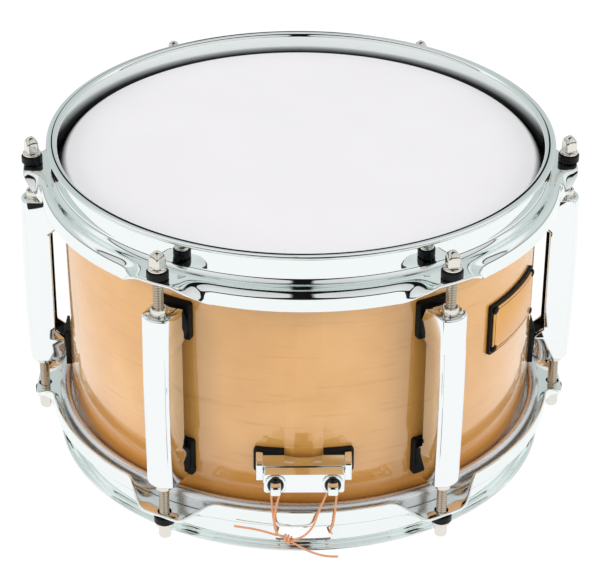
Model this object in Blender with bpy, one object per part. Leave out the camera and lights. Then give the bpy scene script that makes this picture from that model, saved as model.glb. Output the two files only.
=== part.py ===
"""Piccolo snare drum, 10 by 6 inches, with bridge lugs and triple-flanged hoops.

Metres, +Z up. The drum's axis is Z and its lower rim stands on Z = 0.
The butt plate is at -Y, the strainer at +Y and the first lug at +X.
Most pieces are modelled about the drum's middle height with the radial
direction along +X, then turned to their place.
"""
import math

import bmesh
import bpy
from mathutils import Matrix, Vector

MM = 0.001
TURN = math.tau
WELD = 0.001 * MM

# Fits
GAP = 0.3 * MM
SCREW_AIR = 0.3 * MM

# Shell
SHELL_RADIUS = 125.3 * MM
SHELL_DEPTH = 152.4 * MM
SHELL_WALL = 6.0 * MM
EDGE_ROUNDOVER = 3.2 * MM
BED_DEPTH = 1.2 * MM
BED_HALF_ANGLE = math.radians(22)
VENT_ANGLE = math.radians(150)
VENT_BORE = 4.6 * MM
VENT_WALL = 1.0 * MM
VENT_FLANGE = 2.8 * MM
VENT_FLANGE_THICKNESS = 1.2 * MM

# Heads
FILM = 0.4 * MM
FILM_AIR = 0.6 * MM
FLESH_HEIGHT = 6.0 * MM
FLESH_WIDTH = 5.8 * MM
FLESH_WALL = 1.0 * MM
FLESH_AIR = 1.2 * MM
FILM_BITE = 4.2 * MM

# Hoops, with every drop measured down from the crest
HOOP_SHEET = 1.6 * MM
HOOP_AIR = 1.9 * MM
CREST_RISE = 9.45 * MM
LIP_REACH = 6.0 * MM
COLLAR_DROP = 14.2 * MM
SHELF_DROP = 16.8 * MM
SHELF_REACH = 6.9 * MM
SHOULDER_DROP = 20.3 * MM
SHOULDER_REACH = 9.0 * MM
FLANGE_DROP = 27.9 * MM
FLANGE_REACH = 9.9 * MM
PAD_DROP = 16.9 * MM
EAR_MARGIN = 5.8 * MM
EAR_TIP_WIDTH = 14.0 * MM
EAR_ROOT_WIDTH = 46.0 * MM
EAR_HOLE_AIR = 0.9 * MM
GATE_WIDTH = 29.0 * MM
GATE_LOW = 4.5 * MM
GATE_HIGH = 12.5 * MM

# Lugs, tension rods and what they pass through
LUG_COUNT = 6
ROD_STANDOFF = 15.9 * MM
ROD_RADIUS = 2.75 * MM
ROD_LENGTH = 50.0 * MM
ROD_FLANGE_RADIUS = 4.7 * MM
ROD_FLANGE_HEIGHT = 1.6 * MM
ROD_HEAD_SQUARE = 6.35 * MM
ROD_HEAD_HEIGHT = 8.5 * MM
NYLON_RADIUS = 5.5 * MM
NYLON_HEIGHT = 3.9 * MM
LUG_HEIGHT = 98.7 * MM
LUG_STANDOFF = 24.5 * MM
LUG_BACK_WIDTH = 16.6 * MM
LUG_FRONT_WIDTH = 15.0 * MM
LUG_CROWN = 3.1 * MM
LUG_BOW = 1.1 * MM
LUG_CORNER = 3.0 * MM
BRIDGE_STANDOFF = 8.0 * MM
FOOT_HEIGHT = 15.1 * MM
FOOT_SLOPE = 4.2 * MM
HEEL_HEIGHT = 8.9 * MM
HEEL_REACH = 3.6 * MM
POCKET_WIDTH = 12.0 * MM
POCKET_END = 15.9 * MM
POCKET_WALL = 5.0 * MM
LUG_GASKET = 2.7 * MM
LUG_GASKET_HEIGHT = 20.9 * MM
LUG_GASKET_BORDER = 1.3 * MM
NUT_RADIUS = 4.2 * MM
NUT_BOSS = 3.9 * MM
ROD_TIP_AIR = 2.0 * MM
SCREW_RADIUS = 1.9 * MM
SCREW_HEAD_RADIUS = 5.0 * MM
SCREW_HEAD_HEIGHT = 2.6 * MM

# Badge
BADGE_ANGLE = math.radians(329.6)
BADGE_HEIGHT_AT = 102.0 * MM
BADGE_WIDTH = 47.5 * MM
BADGE_HEIGHT = 25.8 * MM
BADGE_PLATE = 0.6 * MM
BADGE_BORDER = 1.5 * MM
BADGE_BACKING = 1.7 * MM
RIVET_RADIUS = 1.9 * MM
RIVET_HEAD = 0.8 * MM
RIVET_INSET = 1.5 * MM

# Butt plate, with heights above the lower rim
PLATE_GASKET = 2.0 * MM
BUTT_WIDTH = 47.8 * MM
BUTT_TOP = 57.6 * MM
BUTT_BOTTOM = 43.2 * MM
BUTT_SHOULDER = 53.8 * MM
BUTT_SHOULDER_STANDOFF = 9.2 * MM
BUTT_STANDOFF = 11.9 * MM
BUTT_NOSE_TOP = 52.1 * MM
BUTT_CHIN = 3.0 * MM
BUTT_GASKET_BORDER = 1.5 * MM
BUTT_GASKET_BOTTOM = 45.3 * MM
CHEEK_WIDTH = 3.6 * MM
CHEEK_BOTTOM = 46.0 * MM
CHEEK_SHOULDER = 55.3 * MM
DIP_WIDTH = 19.6 * MM
DIP_DEPTH = 3.2 * MM
CLAMP_WIDTH = 40.0 * MM
CLAMP_HEIGHT = 10.8 * MM
CLAMP_THICKNESS = 2.2 * MM
CLAMP_LIP = 1.5 * MM
CLAMP_MIDDLE = 48.6 * MM
CLAMP_SCREW_SPACING = 28.4 * MM
CLAMP_SCREW_RADIUS = 1.5 * MM
CLAMP_SCREW_BITE = 6.0 * MM
CLAMP_WASHER_RADIUS = 5.0 * MM
CLAMP_WASHER = 1.0 * MM
CLAMP_HEAD_FLANGE = 3.9 * MM
CLAMP_HEAD_FLANGE_HEIGHT = 1.2 * MM
CLAMP_HEAD_SQUARE = 5.2 * MM
CLAMP_HEAD_HEIGHT = 5.0 * MM
BUTT_SCREW_SPACING = 15.0 * MM
BUTT_SCREW_HEIGHT = 49.5 * MM

# Strainer, with heights above the lower rim
STRAINER_WIDTH = 27.0 * MM
STRAINER_BOTTOM = 43.5 * MM
STRAINER_TOP = 102.5 * MM
STRAINER_PLATE = 2.6 * MM
STRAINER_CAP = 10.5 * MM
CHANNEL_WIDTH = 18.6 * MM
SLIDE_HEIGHT = 32.0 * MM
SLIDE_BOTTOM = 50.0 * MM
SADDLE_HEIGHT = 12.0 * MM
SADDLE_BOTTOM = 46.0 * MM
SADDLE_THICKNESS = 2.0 * MM
KNOB_RADIUS = 6.5 * MM
KNOB_HEIGHT = 8.0 * MM
KNOB_KNURL = 0.5 * MM
KNOB_SCREW_RADIUS = 1.6 * MM
KNOB_SCREW_BITE = 12.0 * MM
LEVER_ACROSS = 17.0 * MM
LEVER_PIVOT = 74.0 * MM
LEVER_HUB_RADIUS = 7.0 * MM
LEVER_THICKNESS = 3.5 * MM
LEVER_LENGTH = 38.0 * MM
LEVER_WIDTH = 9.0 * MM
LEVER_TIP_WIDTH = 12.0 * MM
LEVER_PIN_RADIUS = 2.2 * MM
LEVER_PIN_HEAD = 3.8 * MM
LEVER_PIN_HEAD_HEIGHT = 1.2 * MM
STRAINER_SCREW_MARGIN = 4.0 * MM

# Snares and their cord
STRAND_COUNT = 12
STRAND_SIDES = 5
STRAND_PITCH = 2.5 * MM
STRAND_RADIUS = 0.9 * MM
SOLDER_DEPTH = 0.2 * MM
STRAND_HALF_LENGTH = 100.5 * MM
END_PLATE_WIDTH = 31.5 * MM
END_PLATE_LENGTH = 11.0 * MM
END_PLATE_LAP = 2.5 * MM
END_PLATE = 1.0 * MM
END_HOLE_RADIUS = 2.1 * MM
END_HOLE_SPACING = 24.6 * MM
END_HOLE_MARGIN = 4.2 * MM
CORD_RADIUS = 0.55 * MM
KNOT_RADIUS = 2.0 * MM
KNOT_AT = Vector((-8.0 * MM, -138.2 * MM, 12.4 * MM))

# Facets
SHELL_STEPS = 42
PLAIN_STEPS = 5
SHEET_STEPS = 4
BORE_SIDES = 6
ROUND_SIDES = 8
DISC_SIDES = 12
CORD_STEPS = 1

# Heights and radii that follow
SHELL_BASE = CREST_RISE + FILM + GAP
MIDDLE = SHELL_BASE + SHELL_DEPTH / 2
EDGE = SHELL_DEPTH / 2
HEAD_TOP = EDGE + GAP + FILM
CREST = HEAD_TOP + CREST_RISE
SHELL_INNER = SHELL_RADIUS - SHELL_WALL
HOOP_INNER = SHELL_RADIUS + HOOP_AIR
ROD_CIRCLE = SHELL_RADIUS + ROD_STANDOFF
FOOT_BACK = SHELL_RADIUS + GAP + LUG_GASKET / 2
LUG_TOP = LUG_HEIGHT / 2
FOOT_MIDDLE = LUG_TOP - (FOOT_HEIGHT + HEEL_HEIGHT) / 2
PAD_TOP = CREST - PAD_DROP
NYLON_BOTTOM = PAD_TOP + GAP
ROD_SEAT = NYLON_BOTTOM + NYLON_HEIGHT + GAP
ROD_TIP = ROD_SEAT - ROD_LENGTH
PLATE_BACK = SHELL_RADIUS + GAP + PLATE_GASKET + GAP
BUTT_FRONT = SHELL_RADIUS + BUTT_STANDOFF
CORD_SLOT = 2 * CORD_RADIUS + 2 * GAP
CHANNEL_BACK = PLATE_BACK + STRAINER_PLATE
SADDLE_FRONT = BUTT_FRONT
SADDLE_BACK = SADDLE_FRONT - SADDLE_THICKNESS
STRAINER_FRONT = SADDLE_BACK - GAP
STRAND_HEIGHT = CREST_RISE - GAP - STRAND_RADIUS
END_PLATE_TOP = STRAND_HEIGHT - STRAND_RADIUS + SOLDER_DEPTH
END_PLATE_INNER = STRAND_HALF_LENGTH - END_PLATE_LAP
END_PLATE_OUTER = END_PLATE_INNER + END_PLATE_LENGTH
END_HOLE_REACH = END_PLATE_OUTER - END_HOLE_MARGIN

FRONT = math.radians(270)
REAR = math.radians(90)


def material(name, colour, metallic, roughness):
    """A plain finish with a colour, a metal share and a roughness."""
    finish = bpy.data.materials.new(name)
    finish.use_nodes = True
    shader = finish.node_tree.nodes["Principled BSDF"]
    shader.inputs["Base Color"].default_value = (*colour, 1.0)
    shader.inputs["Metallic"].default_value = metallic
    shader.inputs["Roughness"].default_value = roughness
    return finish


def spot(angle, reach, across, rise):
    """A point given by its direction round the drum, reach, side step and height."""
    radial = Vector((math.cos(angle), math.sin(angle), 0))
    tangent = Vector((-math.sin(angle), math.cos(angle), 0))
    return radial * reach + tangent * across + Vector((0, 0, rise))


def abreast(radius, across):
    """How far out a circle of this radius lies at a side step."""
    return math.sqrt(radius ** 2 - across ** 2)


def shade(piece):
    """Smooth faces with creases kept at the corners."""
    piece.data.shade_smooth()
    piece.data.set_sharp_from_angle(angle=math.radians(35))


def finish(name, mesh, look):
    """Turn a bmesh into a named object."""
    bmesh.ops.recalc_face_normals(mesh, faces=mesh.faces)
    data = bpy.data.meshes.new(name)
    mesh.to_mesh(data)
    mesh.free()
    data.materials.append(look)
    piece = bpy.data.objects.new(name, data)
    bpy.context.collection.objects.link(piece)
    shade(piece)
    return piece


def place(piece, angle=0.0, flipped=False, origin=None):
    """Turn a piece round the drum, upside down for the lower half, up to its height."""
    matrix = Matrix.Translation((0, 0, MIDDLE)) @ Matrix.Rotation(angle, 4, "Z")
    if flipped:
        matrix = matrix @ Matrix.Rotation(TURN / 2, 4, "X")
    if origin is not None:
        matrix = matrix @ Matrix.Translation(origin)
    piece.matrix_world = matrix
    return piece


def combine(piece, tool, operation):
    """Apply one Boolean to a piece and remove its tool."""
    modifier = piece.modifiers.new("shape", "BOOLEAN")
    modifier.operation = operation
    modifier.solver = "EXACT"
    modifier.object = tool
    graph = bpy.context.evaluated_depsgraph_get()
    shaped = bpy.data.meshes.new_from_object(piece.evaluated_get(graph))
    piece.modifiers.clear()
    piece.data = shaped
    bpy.data.objects.remove(tool)
    shade(piece)
    return piece


def cut(piece, mesh):
    """Take a shape out of a piece."""
    return combine(piece, finish("tool", mesh, piece.data.materials[0]), "DIFFERENCE")


def add(piece, mesh):
    """Fuse a shape to a piece."""
    return combine(piece, finish("tool", mesh, piece.data.materials[0]), "UNION")


def gather(loose):
    """Put several meshes into one."""
    whole = bmesh.new()
    for mesh in loose:
        data = bpy.data.meshes.new("loose")
        mesh.to_mesh(data)
        whole.from_mesh(data)
        bpy.data.meshes.remove(data)
    return whole


def lathe(profile, steps, closed=True):
    """Spin a (radius, rise) profile round the Z axis."""
    mesh = bmesh.new()
    points = [mesh.verts.new((radius, 0, rise)) for radius, rise in profile]
    following = points[1:] + points[:1] if closed else points[1:]
    edges = [mesh.edges.new(pair) for pair in zip(points, following)]
    bmesh.ops.spin(mesh, geom=points + edges, cent=(0, 0, 0), axis=(0, 0, 1),
                   dvec=(0, 0, 0), angle=TURN, steps=steps, use_merge=True)
    bmesh.ops.remove_doubles(mesh, verts=mesh.verts, dist=WELD)
    return mesh


def tube(inner, outer, low, high, steps):
    """A round tube along Z."""
    return lathe([(inner, low), (outer, low), (outer, high), (inner, high)], steps)


def stack(rings, sides):
    """Loft (rise, half size, square) rings along Z and cap both ends."""
    mesh = bmesh.new()
    loops = []
    for rise, half, square in rings:
        loop = []
        for step in range(sides):
            angle = TURN * step / sides
            corner = max(abs(math.cos(angle)), abs(math.sin(angle))) if square else 1.0
            reach = half / corner
            loop.append(mesh.verts.new((reach * math.cos(angle), reach * math.sin(angle), rise)))
        loops.append(loop)
    for lower, upper in zip(loops, loops[1:]):
        for step in range(sides):
            after = (step + 1) % sides
            mesh.faces.new((lower[step], lower[after], upper[after], upper[step]))
    mesh.faces.new(loops[0][::-1])
    mesh.faces.new(loops[-1])
    return mesh


def prism(outline, depth):
    """Extrude a flat outline of 3-D points along a vector."""
    mesh = bmesh.new()
    base = [mesh.verts.new(point) for point in outline]
    far = [mesh.verts.new(Vector(point) + Vector(depth)) for point in outline]
    mesh.faces.new(base[::-1])
    mesh.faces.new(far)
    for index in range(len(base)):
        after = (index + 1) % len(base)
        mesh.faces.new((base[index], base[after], far[after], far[index]))
    return mesh


def block(low, high):
    """A box between two corners."""
    outline = [(low[0], low[1], low[2]), (high[0], low[1], low[2]),
               (high[0], high[1], low[2]), (low[0], high[1], low[2])]
    return prism(outline, (0, 0, high[2] - low[2]))


def bore(start, end, radius, sides=BORE_SIDES):
    """A straight round bar between two points."""
    start, end = Vector(start), Vector(end)
    along = end - start
    turn = along.to_track_quat("Z", "Y").to_matrix().to_4x4()
    mesh = bmesh.new()
    bmesh.ops.create_cone(mesh, cap_ends=True, cap_tris=False, segments=sides, radius1=radius,
                          radius2=radius, depth=along.length,
                          matrix=Matrix.Translation((start + end) / 2) @ turn)
    return mesh


def hole(start, end, radius, sides=BORE_SIDES):
    """A cutter whose flats keep clear of a round piece of this radius."""
    return bore(start, end, radius / math.cos(TURN / 2 / sides), sides)


def ring(inner, outer, low, high, steps):
    """A tube whose bore keeps clear of a round piece of its inner radius."""
    return tube(inner / math.cos(TURN / 2 / steps), outer, low, high, steps)


def curved_sheet(inner, outer, half_width, low, high, steps):
    """A sheet bent round the drum's axis, facing +X, between two radii and two rises."""
    half_angle = half_width / outer
    angles = [half_angle * (2 * step / steps - 1) for step in range(steps + 1)]
    outline = [(outer * math.cos(angle), outer * math.sin(angle), low) for angle in angles]
    outline += [(inner * math.cos(angle), inner * math.sin(angle), low) for angle in angles[::-1]]
    return prism(outline, (0, 0, high - low))


def outward(mesh, reach, across, rise):
    """Turn a shape modelled along +Z to point outward along +X, at its place."""
    matrix = Matrix.Translation((reach, across, rise)) @ Matrix.Rotation(TURN / 4, 4, "Y")
    bmesh.ops.transform(mesh, matrix=matrix, verts=mesh.verts)
    return mesh


def above_floor(height):
    """A height over the lower rim, as a rise from the drum's middle."""
    return height - MIDDLE


def lug_angles():
    return [TURN * index / LUG_COUNT for index in range(LUG_COUNT)]


def make_shell(look):
    """Ply cylinder with 45-degree bearing edges, snare beds and drilled holes."""
    apex = SHELL_RADIUS - EDGE_ROUNDOVER
    bevel = apex - SHELL_INNER
    upper = [(SHELL_INNER, EDGE - bevel), (apex, EDGE), (SHELL_RADIUS, EDGE - EDGE_ROUNDOVER)]
    lower = [(radius, -rise) for radius, rise in upper[::-1]]
    mesh = lathe(upper[::-1] + lower[::-1], SHELL_STEPS)
    sink_snare_beds(mesh)
    shell = finish("shell", mesh, look)
    inside = SHELL_INNER - SHELL_WALL
    outside = SHELL_RADIUS + SHELL_WALL
    screw_hole = SCREW_RADIUS + SCREW_AIR
    screws = [(angle, 0.0, rise) for angle in lug_angles() for rise in (FOOT_MIDDLE, -FOOT_MIDDLE)]
    bars = []
    for angle, across, rise in screws + plate_screw_places(FRONT) + plate_screw_places(REAR):
        bars.append(hole(spot(angle, inside, across, rise), spot(angle, outside, across, rise),
                         screw_hole))
    vent = VENT_BORE + VENT_WALL + GAP
    bars.append(hole(spot(VENT_ANGLE, inside, 0, 0), spot(VENT_ANGLE, outside, 0, 0), vent, DISC_SIDES))
    cut(shell, gather(bars))
    return place(shell)


def sink_snare_beds(mesh):
    """Dip the lower bearing edge where the snares cross it, front and rear."""
    for vert in mesh.verts:
        angle = math.atan2(vert.co.y, vert.co.x)
        off_axis = min(abs(angle - REAR), abs(angle + REAR))
        if vert.co.z < 0 and off_axis < BED_HALF_ANGLE:
            share = math.cos(off_axis / BED_HALF_ANGLE * TURN / 4) ** 2
            vert.co.z += BED_DEPTH * share


def make_vent_grommet(look):
    """Flanged eyelet rolled over both faces of the shell."""
    barrel = VENT_BORE + VENT_WALL
    outer_face = SHELL_RADIUS + GAP
    inner_face = abreast(SHELL_INNER, barrel + VENT_FLANGE) - GAP
    profile = [(VENT_BORE, inner_face - VENT_FLANGE_THICKNESS),
               (barrel + VENT_FLANGE / 2, inner_face - VENT_FLANGE_THICKNESS),
               (barrel + VENT_FLANGE / 2, inner_face),
               (barrel, inner_face),
               (barrel, outer_face),
               (barrel + VENT_FLANGE, outer_face),
               (barrel + VENT_FLANGE / 2, outer_face + VENT_FLANGE_THICKNESS),
               (VENT_BORE, outer_face + VENT_FLANGE_THICKNESS)]
    mesh = outward(lathe(profile, DISC_SIDES), 0, 0, 0)
    return place(finish("vent_grommet", mesh, look), VENT_ANGLE)


def film_profile():
    """Half section of a head's film: flat top, collar, and skirt down into its channel."""
    turn_in = SHELL_RADIUS - EDGE_ROUNDOVER
    collar = SHELL_RADIUS + FILM_AIR
    skirt = flesh_inner() + FLESH_WALL + GAP
    flesh_top = flesh_bottom() + FLESH_HEIGHT
    outside = [(0, HEAD_TOP),
               (turn_in + FILM, HEAD_TOP),
               (collar + FILM, HEAD_TOP - EDGE_ROUNDOVER),
               (collar + FILM, flesh_top + HOOP_SHEET),
               (skirt + FILM, flesh_top),
               (skirt + FILM, flesh_top - FILM_BITE)]
    inside = [(skirt, flesh_top - FILM_BITE),
              (skirt, flesh_top),
              (collar, flesh_top + HOOP_SHEET),
              (collar, HEAD_TOP - EDGE_ROUNDOVER - FILM),
              (turn_in, HEAD_TOP - FILM),
              (0, HEAD_TOP - FILM)]
    return outside + inside


def flesh_inner():
    return SHELL_RADIUS + FLESH_AIR


def flesh_bottom():
    """The channel hangs just under the hoop's shelf and pads."""
    return PAD_TOP - HOOP_SHEET - GAP - FLESH_HEIGHT


def make_head(name, look, flipped):
    mesh = lathe(film_profile(), SHELL_STEPS, closed=False)
    return place(finish(name, mesh, look), flipped=flipped)


def make_flesh_hoop(name, look, flipped):
    """Aluminium channel, open upward, that grips the film's skirt."""
    low = flesh_bottom()
    high = low + FLESH_HEIGHT
    inner = flesh_inner()
    outer = inner + FLESH_WIDTH
    profile = [(inner, low), (outer, low), (outer, high), (outer - FLESH_WALL, high),
               (outer - FLESH_WALL, low + FLESH_WALL), (inner + FLESH_WALL, low + FLESH_WALL),
               (inner + FLESH_WALL, high), (inner, high)]
    return place(finish(name, lathe(profile, SHELL_STEPS), look), flipped=flipped)


def hoop_stations():
    """(angle, ear) round a hoop: ear is 1 on an ear's pad and 0 between the ears."""
    pitch = TURN / LUG_COUNT
    tip = EAR_TIP_WIDTH / 2 / ROD_CIRCLE
    root = EAR_ROOT_WIDTH / 2 / ROD_CIRCLE
    plain = [root + (pitch - 2 * root) * step / PLAIN_STEPS for step in range(PLAIN_STEPS + 1)]
    stations = []
    for angle in lug_angles():
        stations += [(angle - tip, 1.0), (angle + tip, 1.0)]
        stations += [(angle + offset, 0.0) for offset in plain]
    return stations


def hoop_spine(ear):
    """Centreline of the pressed sheet as (radius, drop), from the lip to the free edge."""
    half = HOOP_SHEET / 2
    collar = HOOP_INNER + half
    corner = HOOP_INNER + SHELF_REACH - half
    pad = PAD_DROP + half
    tip = ROD_CIRCLE + EAR_MARGIN
    head = [(HOOP_INNER + LIP_REACH, half),
            (collar + HOOP_SHEET, half),
            (collar, half + HOOP_SHEET),
            (collar, COLLAR_DROP)]
    plain = [(collar + HOOP_SHEET, PAD_DROP - half / 2),
             (corner, SHELF_DROP + half),
             (HOOP_INNER + SHOULDER_REACH - half, SHOULDER_DROP),
             (HOOP_INNER + FLANGE_REACH - half, FLANGE_DROP)]
    eared = [(collar + 2 * HOOP_SHEET, pad),
             (corner + HOOP_SHEET, pad),
             ((corner + tip) / 2, pad),
             (tip, pad)]
    tail = [(low[0] + (high[0] - low[0]) * ear, low[1] + (high[1] - low[1]) * ear)
            for low, high in zip(plain, eared)]
    return [Vector((radius, CREST - drop)) for radius, drop in head + tail]


def thicken(spine, thickness):
    """Closed outline of a sheet of even thickness round an open centreline."""
    front, back = [], []
    for index, point in enumerate(spine):
        ahead = spine[min(index + 1, len(spine) - 1)]
        behind = spine[max(index - 1, 0)]
        incoming = (point - behind) if index else (ahead - point)
        outgoing = (ahead - point) if ahead != point else incoming
        normals = [Vector((-way.y, way.x)).normalized() for way in (incoming, outgoing)]
        middle = (normals[0] + normals[1]).normalized()
        reach = thickness / 2 / middle.dot(normals[0])
        front.append(point + middle * reach)
        back.append(point - middle * reach)
    return front + back[::-1]


def make_hoop(name, look, flipped):
    """Triple-flanged steel hoop: lip, collar, shelf and a skirt that rises into the ears."""
    mesh = bmesh.new()
    loops = []
    for angle, ear in hoop_stations():
        outline = thicken(hoop_spine(ear), HOOP_SHEET)
        loops.append([mesh.verts.new(spot(angle, point.x, 0, point.y)) for point in outline])
    for loop, after in zip(loops, loops[1:] + loops[:1]):
        for index in range(len(loop)):
            following = (index + 1) % len(loop)
            mesh.faces.new((loop[index], after[index], after[following], loop[following]))
    hoop = finish(name, mesh, look)
    tools = []
    for angle in lug_angles():
        low = spot(angle, ROD_CIRCLE, 0, PAD_TOP - 3 * HOOP_SHEET)
        high = spot(angle, ROD_CIRCLE, 0, PAD_TOP + 3 * HOOP_SHEET)
        tools.append(hole(low, high, ROD_RADIUS + EAR_HOLE_AIR, DISC_SIDES))
    if flipped:
        tools += gate_cutters()
    cut(hoop, gather(tools))
    return place(hoop, flipped=flipped)


def gate_cutters():
    """Boxes through the collar where the snare cords pass, front and rear."""
    inner = HOOP_INNER - HOOP_SHEET
    outer = HOOP_INNER + 2 * HOOP_SHEET
    low = CREST - GATE_HIGH
    high = CREST - GATE_LOW
    rear = block((-GATE_WIDTH / 2, inner, low), (GATE_WIDTH / 2, outer, high))
    front = block((-GATE_WIDTH / 2, -outer, low), (GATE_WIDTH / 2, -inner, high))
    return [rear, front]


def lug_outline():
    """Side view of a lug as (reach, rise): feet on the shell, a bridge clear of it."""
    front = SHELL_RADIUS + LUG_STANDOFF
    bridge = SHELL_RADIUS + BRIDGE_STANDOFF
    foot_low = LUG_TOP - FOOT_HEIGHT
    shoulder = LUG_TOP - LUG_CORNER

    def face(rise):
        return front - LUG_BOW * (rise / LUG_TOP) ** 2

    upper = [(bridge, foot_low - FOOT_SLOPE),
             (FOOT_BACK, foot_low),
             (FOOT_BACK, LUG_TOP - HEEL_HEIGHT),
             (FOOT_BACK + HEEL_REACH, LUG_TOP),
             (face(LUG_TOP) - LUG_CORNER, LUG_TOP),
             (face(LUG_TOP) - LUG_CORNER / 4, LUG_TOP - LUG_CORNER / 4),
             (face(shoulder), shoulder),
             (face(shoulder / 2), shoulder / 2)]
    lower = [(reach, -rise) for reach, rise in upper[::-1]]
    return upper + lower


def lug_station(share):
    """The side view moved to a share of the half width, with the front crowned back."""
    front = SHELL_RADIUS + LUG_STANDOFF
    points = []
    for reach, rise in lug_outline():
        forward = max(0.0, (reach - ROD_CIRCLE) / (front - ROD_CIRCLE))
        crowned = reach - LUG_CROWN * share ** 2 * forward
        slant = (crowned - FOOT_BACK) / (front - FOOT_BACK)
        width = LUG_BACK_WIDTH + (LUG_FRONT_WIDTH - LUG_BACK_WIDTH) * slant
        points.append((crowned, share * width / 2, rise))
    return points


def inner_screw(across, rise, tip):
    """A hexagon flange screw along X, with its head against the drum's inner wall."""
    seat = abreast(SHELL_INNER, abs(across) + SCREW_HEAD_RADIUS) - GAP
    screw = stack([(seat - SCREW_HEAD_HEIGHT, SCREW_HEAD_RADIUS * 0.7, False),
                   (seat, SCREW_HEAD_RADIUS, False),
                   (seat, SCREW_RADIUS, False),
                   (tip, SCREW_RADIUS, False)], BORE_SIDES)
    return outward(screw, 0, across, rise)


def make_lugs(look):
    """Double-ended bridge lugs with their nuts, gaskets and screws, turned to six places."""
    mesh = bmesh.new()
    shares = (-1, -0.5, 0.5, 1)
    loops = [[mesh.verts.new(point) for point in lug_station(share)] for share in shares]
    for loop, after in zip(loops, loops[1:]):
        for index in range(len(loop)):
            following = (index + 1) % len(loop)
            mesh.faces.new((loop[index], loop[following], after[following], after[index]))
    mesh.faces.new(loops[0][::-1])
    mesh.faces.new(loops[-1])
    pattern = finish("lug_pattern", mesh, look)
    pocket_rise = LUG_TOP - POCKET_END
    cut(pattern, block((SHELL_RADIUS, -POCKET_WIDTH / 2, -pocket_rise),
                       (SHELL_RADIUS + LUG_STANDOFF - POCKET_WALL, POCKET_WIDTH / 2, pocket_rise)))
    inner = SHELL_RADIUS + GAP
    half_width = LUG_BACK_WIDTH / 2 + LUG_GASKET_BORDER
    parts, screws, bores = [], [], []
    for side in (1, -1):
        gasket_end = LUG_TOP + LUG_GASKET_BORDER
        low, high = sorted((side * (gasket_end - LUG_GASKET_HEIGHT), side * gasket_end))
        parts.append(curved_sheet(inner, inner + LUG_GASKET, half_width, low, high, 2))
        boss_start = (ROD_CIRCLE, 0, side * (LUG_TOP - LUG_CORNER))
        boss_end = (ROD_CIRCLE, 0, side * (LUG_TOP + NUT_BOSS))
        parts.append(bore(boss_start, boss_end, NUT_RADIUS, ROUND_SIDES))
        screws.append(inner_screw(0, side * FOOT_MIDDLE, FOOT_BACK + LUG_GASKET))
        floor = (ROD_CIRCLE, 0, side * (ROD_TIP - ROD_TIP_AIR))
        mouth = (ROD_CIRCLE, 0, side * (LUG_TOP + 2 * NUT_BOSS))
        bores.append(hole(floor, mouth, ROD_RADIUS + SCREW_AIR, ROUND_SIDES))
    add(pattern, gather(parts))
    add(pattern, gather(screws))
    cut(pattern, gather(bores))
    for index, angle in enumerate(lug_angles(), 1):
        lug = bpy.data.objects.new(f"lug_{index}", pattern.data)
        bpy.context.collection.objects.link(lug)
        place(lug, angle)
    bpy.data.objects.remove(pattern)


def make_rods(look):
    """Square-head tension rods, one to each ear, screwed into the lugs' nuts."""
    flange_top = ROD_SEAT + ROD_FLANGE_HEIGHT
    head_top = flange_top + ROD_HEAD_HEIGHT
    square = ROD_HEAD_SQUARE / 2
    mesh = stack([(ROD_TIP, ROD_RADIUS, False),
                  (ROD_SEAT, ROD_RADIUS, False),
                  (ROD_SEAT, ROD_FLANGE_RADIUS, False),
                  (flange_top, ROD_FLANGE_RADIUS, False),
                  (flange_top, square, True),
                  (head_top - square / 3, square, True),
                  (head_top, square * 2 / 3, True)], ROUND_SIDES)
    pattern = finish("rod_pattern", mesh, look)
    for index, angle in enumerate(lug_angles(), 1):
        for name, flipped in ((f"batter_rod_{index}", False), (f"snare_rod_{index}", True)):
            rod = bpy.data.objects.new(name, pattern.data)
            bpy.context.collection.objects.link(rod)
            place(rod, angle, flipped, (ROD_CIRCLE, 0, 0))
    bpy.data.objects.remove(pattern)


def make_nylon_washers(look):
    mesh = ring(ROD_RADIUS + SCREW_AIR, NYLON_RADIUS, NYLON_BOTTOM, NYLON_BOTTOM + NYLON_HEIGHT,
                ROUND_SIDES)
    pattern = finish("washer_pattern", mesh, look)
    for index, angle in enumerate(lug_angles(), 1):
        for name, flipped in ((f"batter_washer_{index}", False), (f"snare_washer_{index}", True)):
            washer = bpy.data.objects.new(name, pattern.data)
            bpy.context.collection.objects.link(washer)
            place(washer, angle, flipped, (ROD_CIRCLE, 0, 0))
    bpy.data.objects.remove(pattern)


def make_badge(plate_look, backing_look):
    """A bare curved plaque on a thicker backing whose four rivets hold its corners."""
    middle = above_floor(BADGE_HEIGHT_AT)
    back = SHELL_RADIUS + GAP
    front = back + BADGE_BACKING
    face = front + GAP + BADGE_PLATE
    half_height = BADGE_HEIGHT / 2
    backing = curved_sheet(back, front, BADGE_WIDTH / 2 + BADGE_BORDER,
                           middle - half_height - BADGE_BORDER,
                           middle + half_height + BADGE_BORDER, SHEET_STEPS)
    backing = finish("badge_backing", backing, backing_look)
    plate = curved_sheet(front + GAP, face, BADGE_WIDTH / 2, middle - half_height,
                         middle + half_height, SHEET_STEPS)
    plate = finish("badge_plate", plate, plate_look)
    rivets, holes = [], []
    for side in (-1, 1):
        angle = side * (BADGE_WIDTH / 2 - RIVET_INSET) / face
        for rise in (middle - half_height + RIVET_INSET, middle + half_height - RIVET_INSET):
            root = spot(angle, front - BADGE_BACKING / 2, 0, rise)
            top = spot(angle, face + RIVET_HEAD, 0, rise)
            rivets.append(bore(root, top, RIVET_RADIUS, ROUND_SIDES))
            holes.append(hole(root, top + spot(angle, GAP, 0, 0), RIVET_RADIUS + GAP, ROUND_SIDES))
    add(backing, gather(rivets))
    cut(plate, gather(holes))
    place(backing, BADGE_ANGLE)
    place(plate, BADGE_ANGLE)


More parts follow.
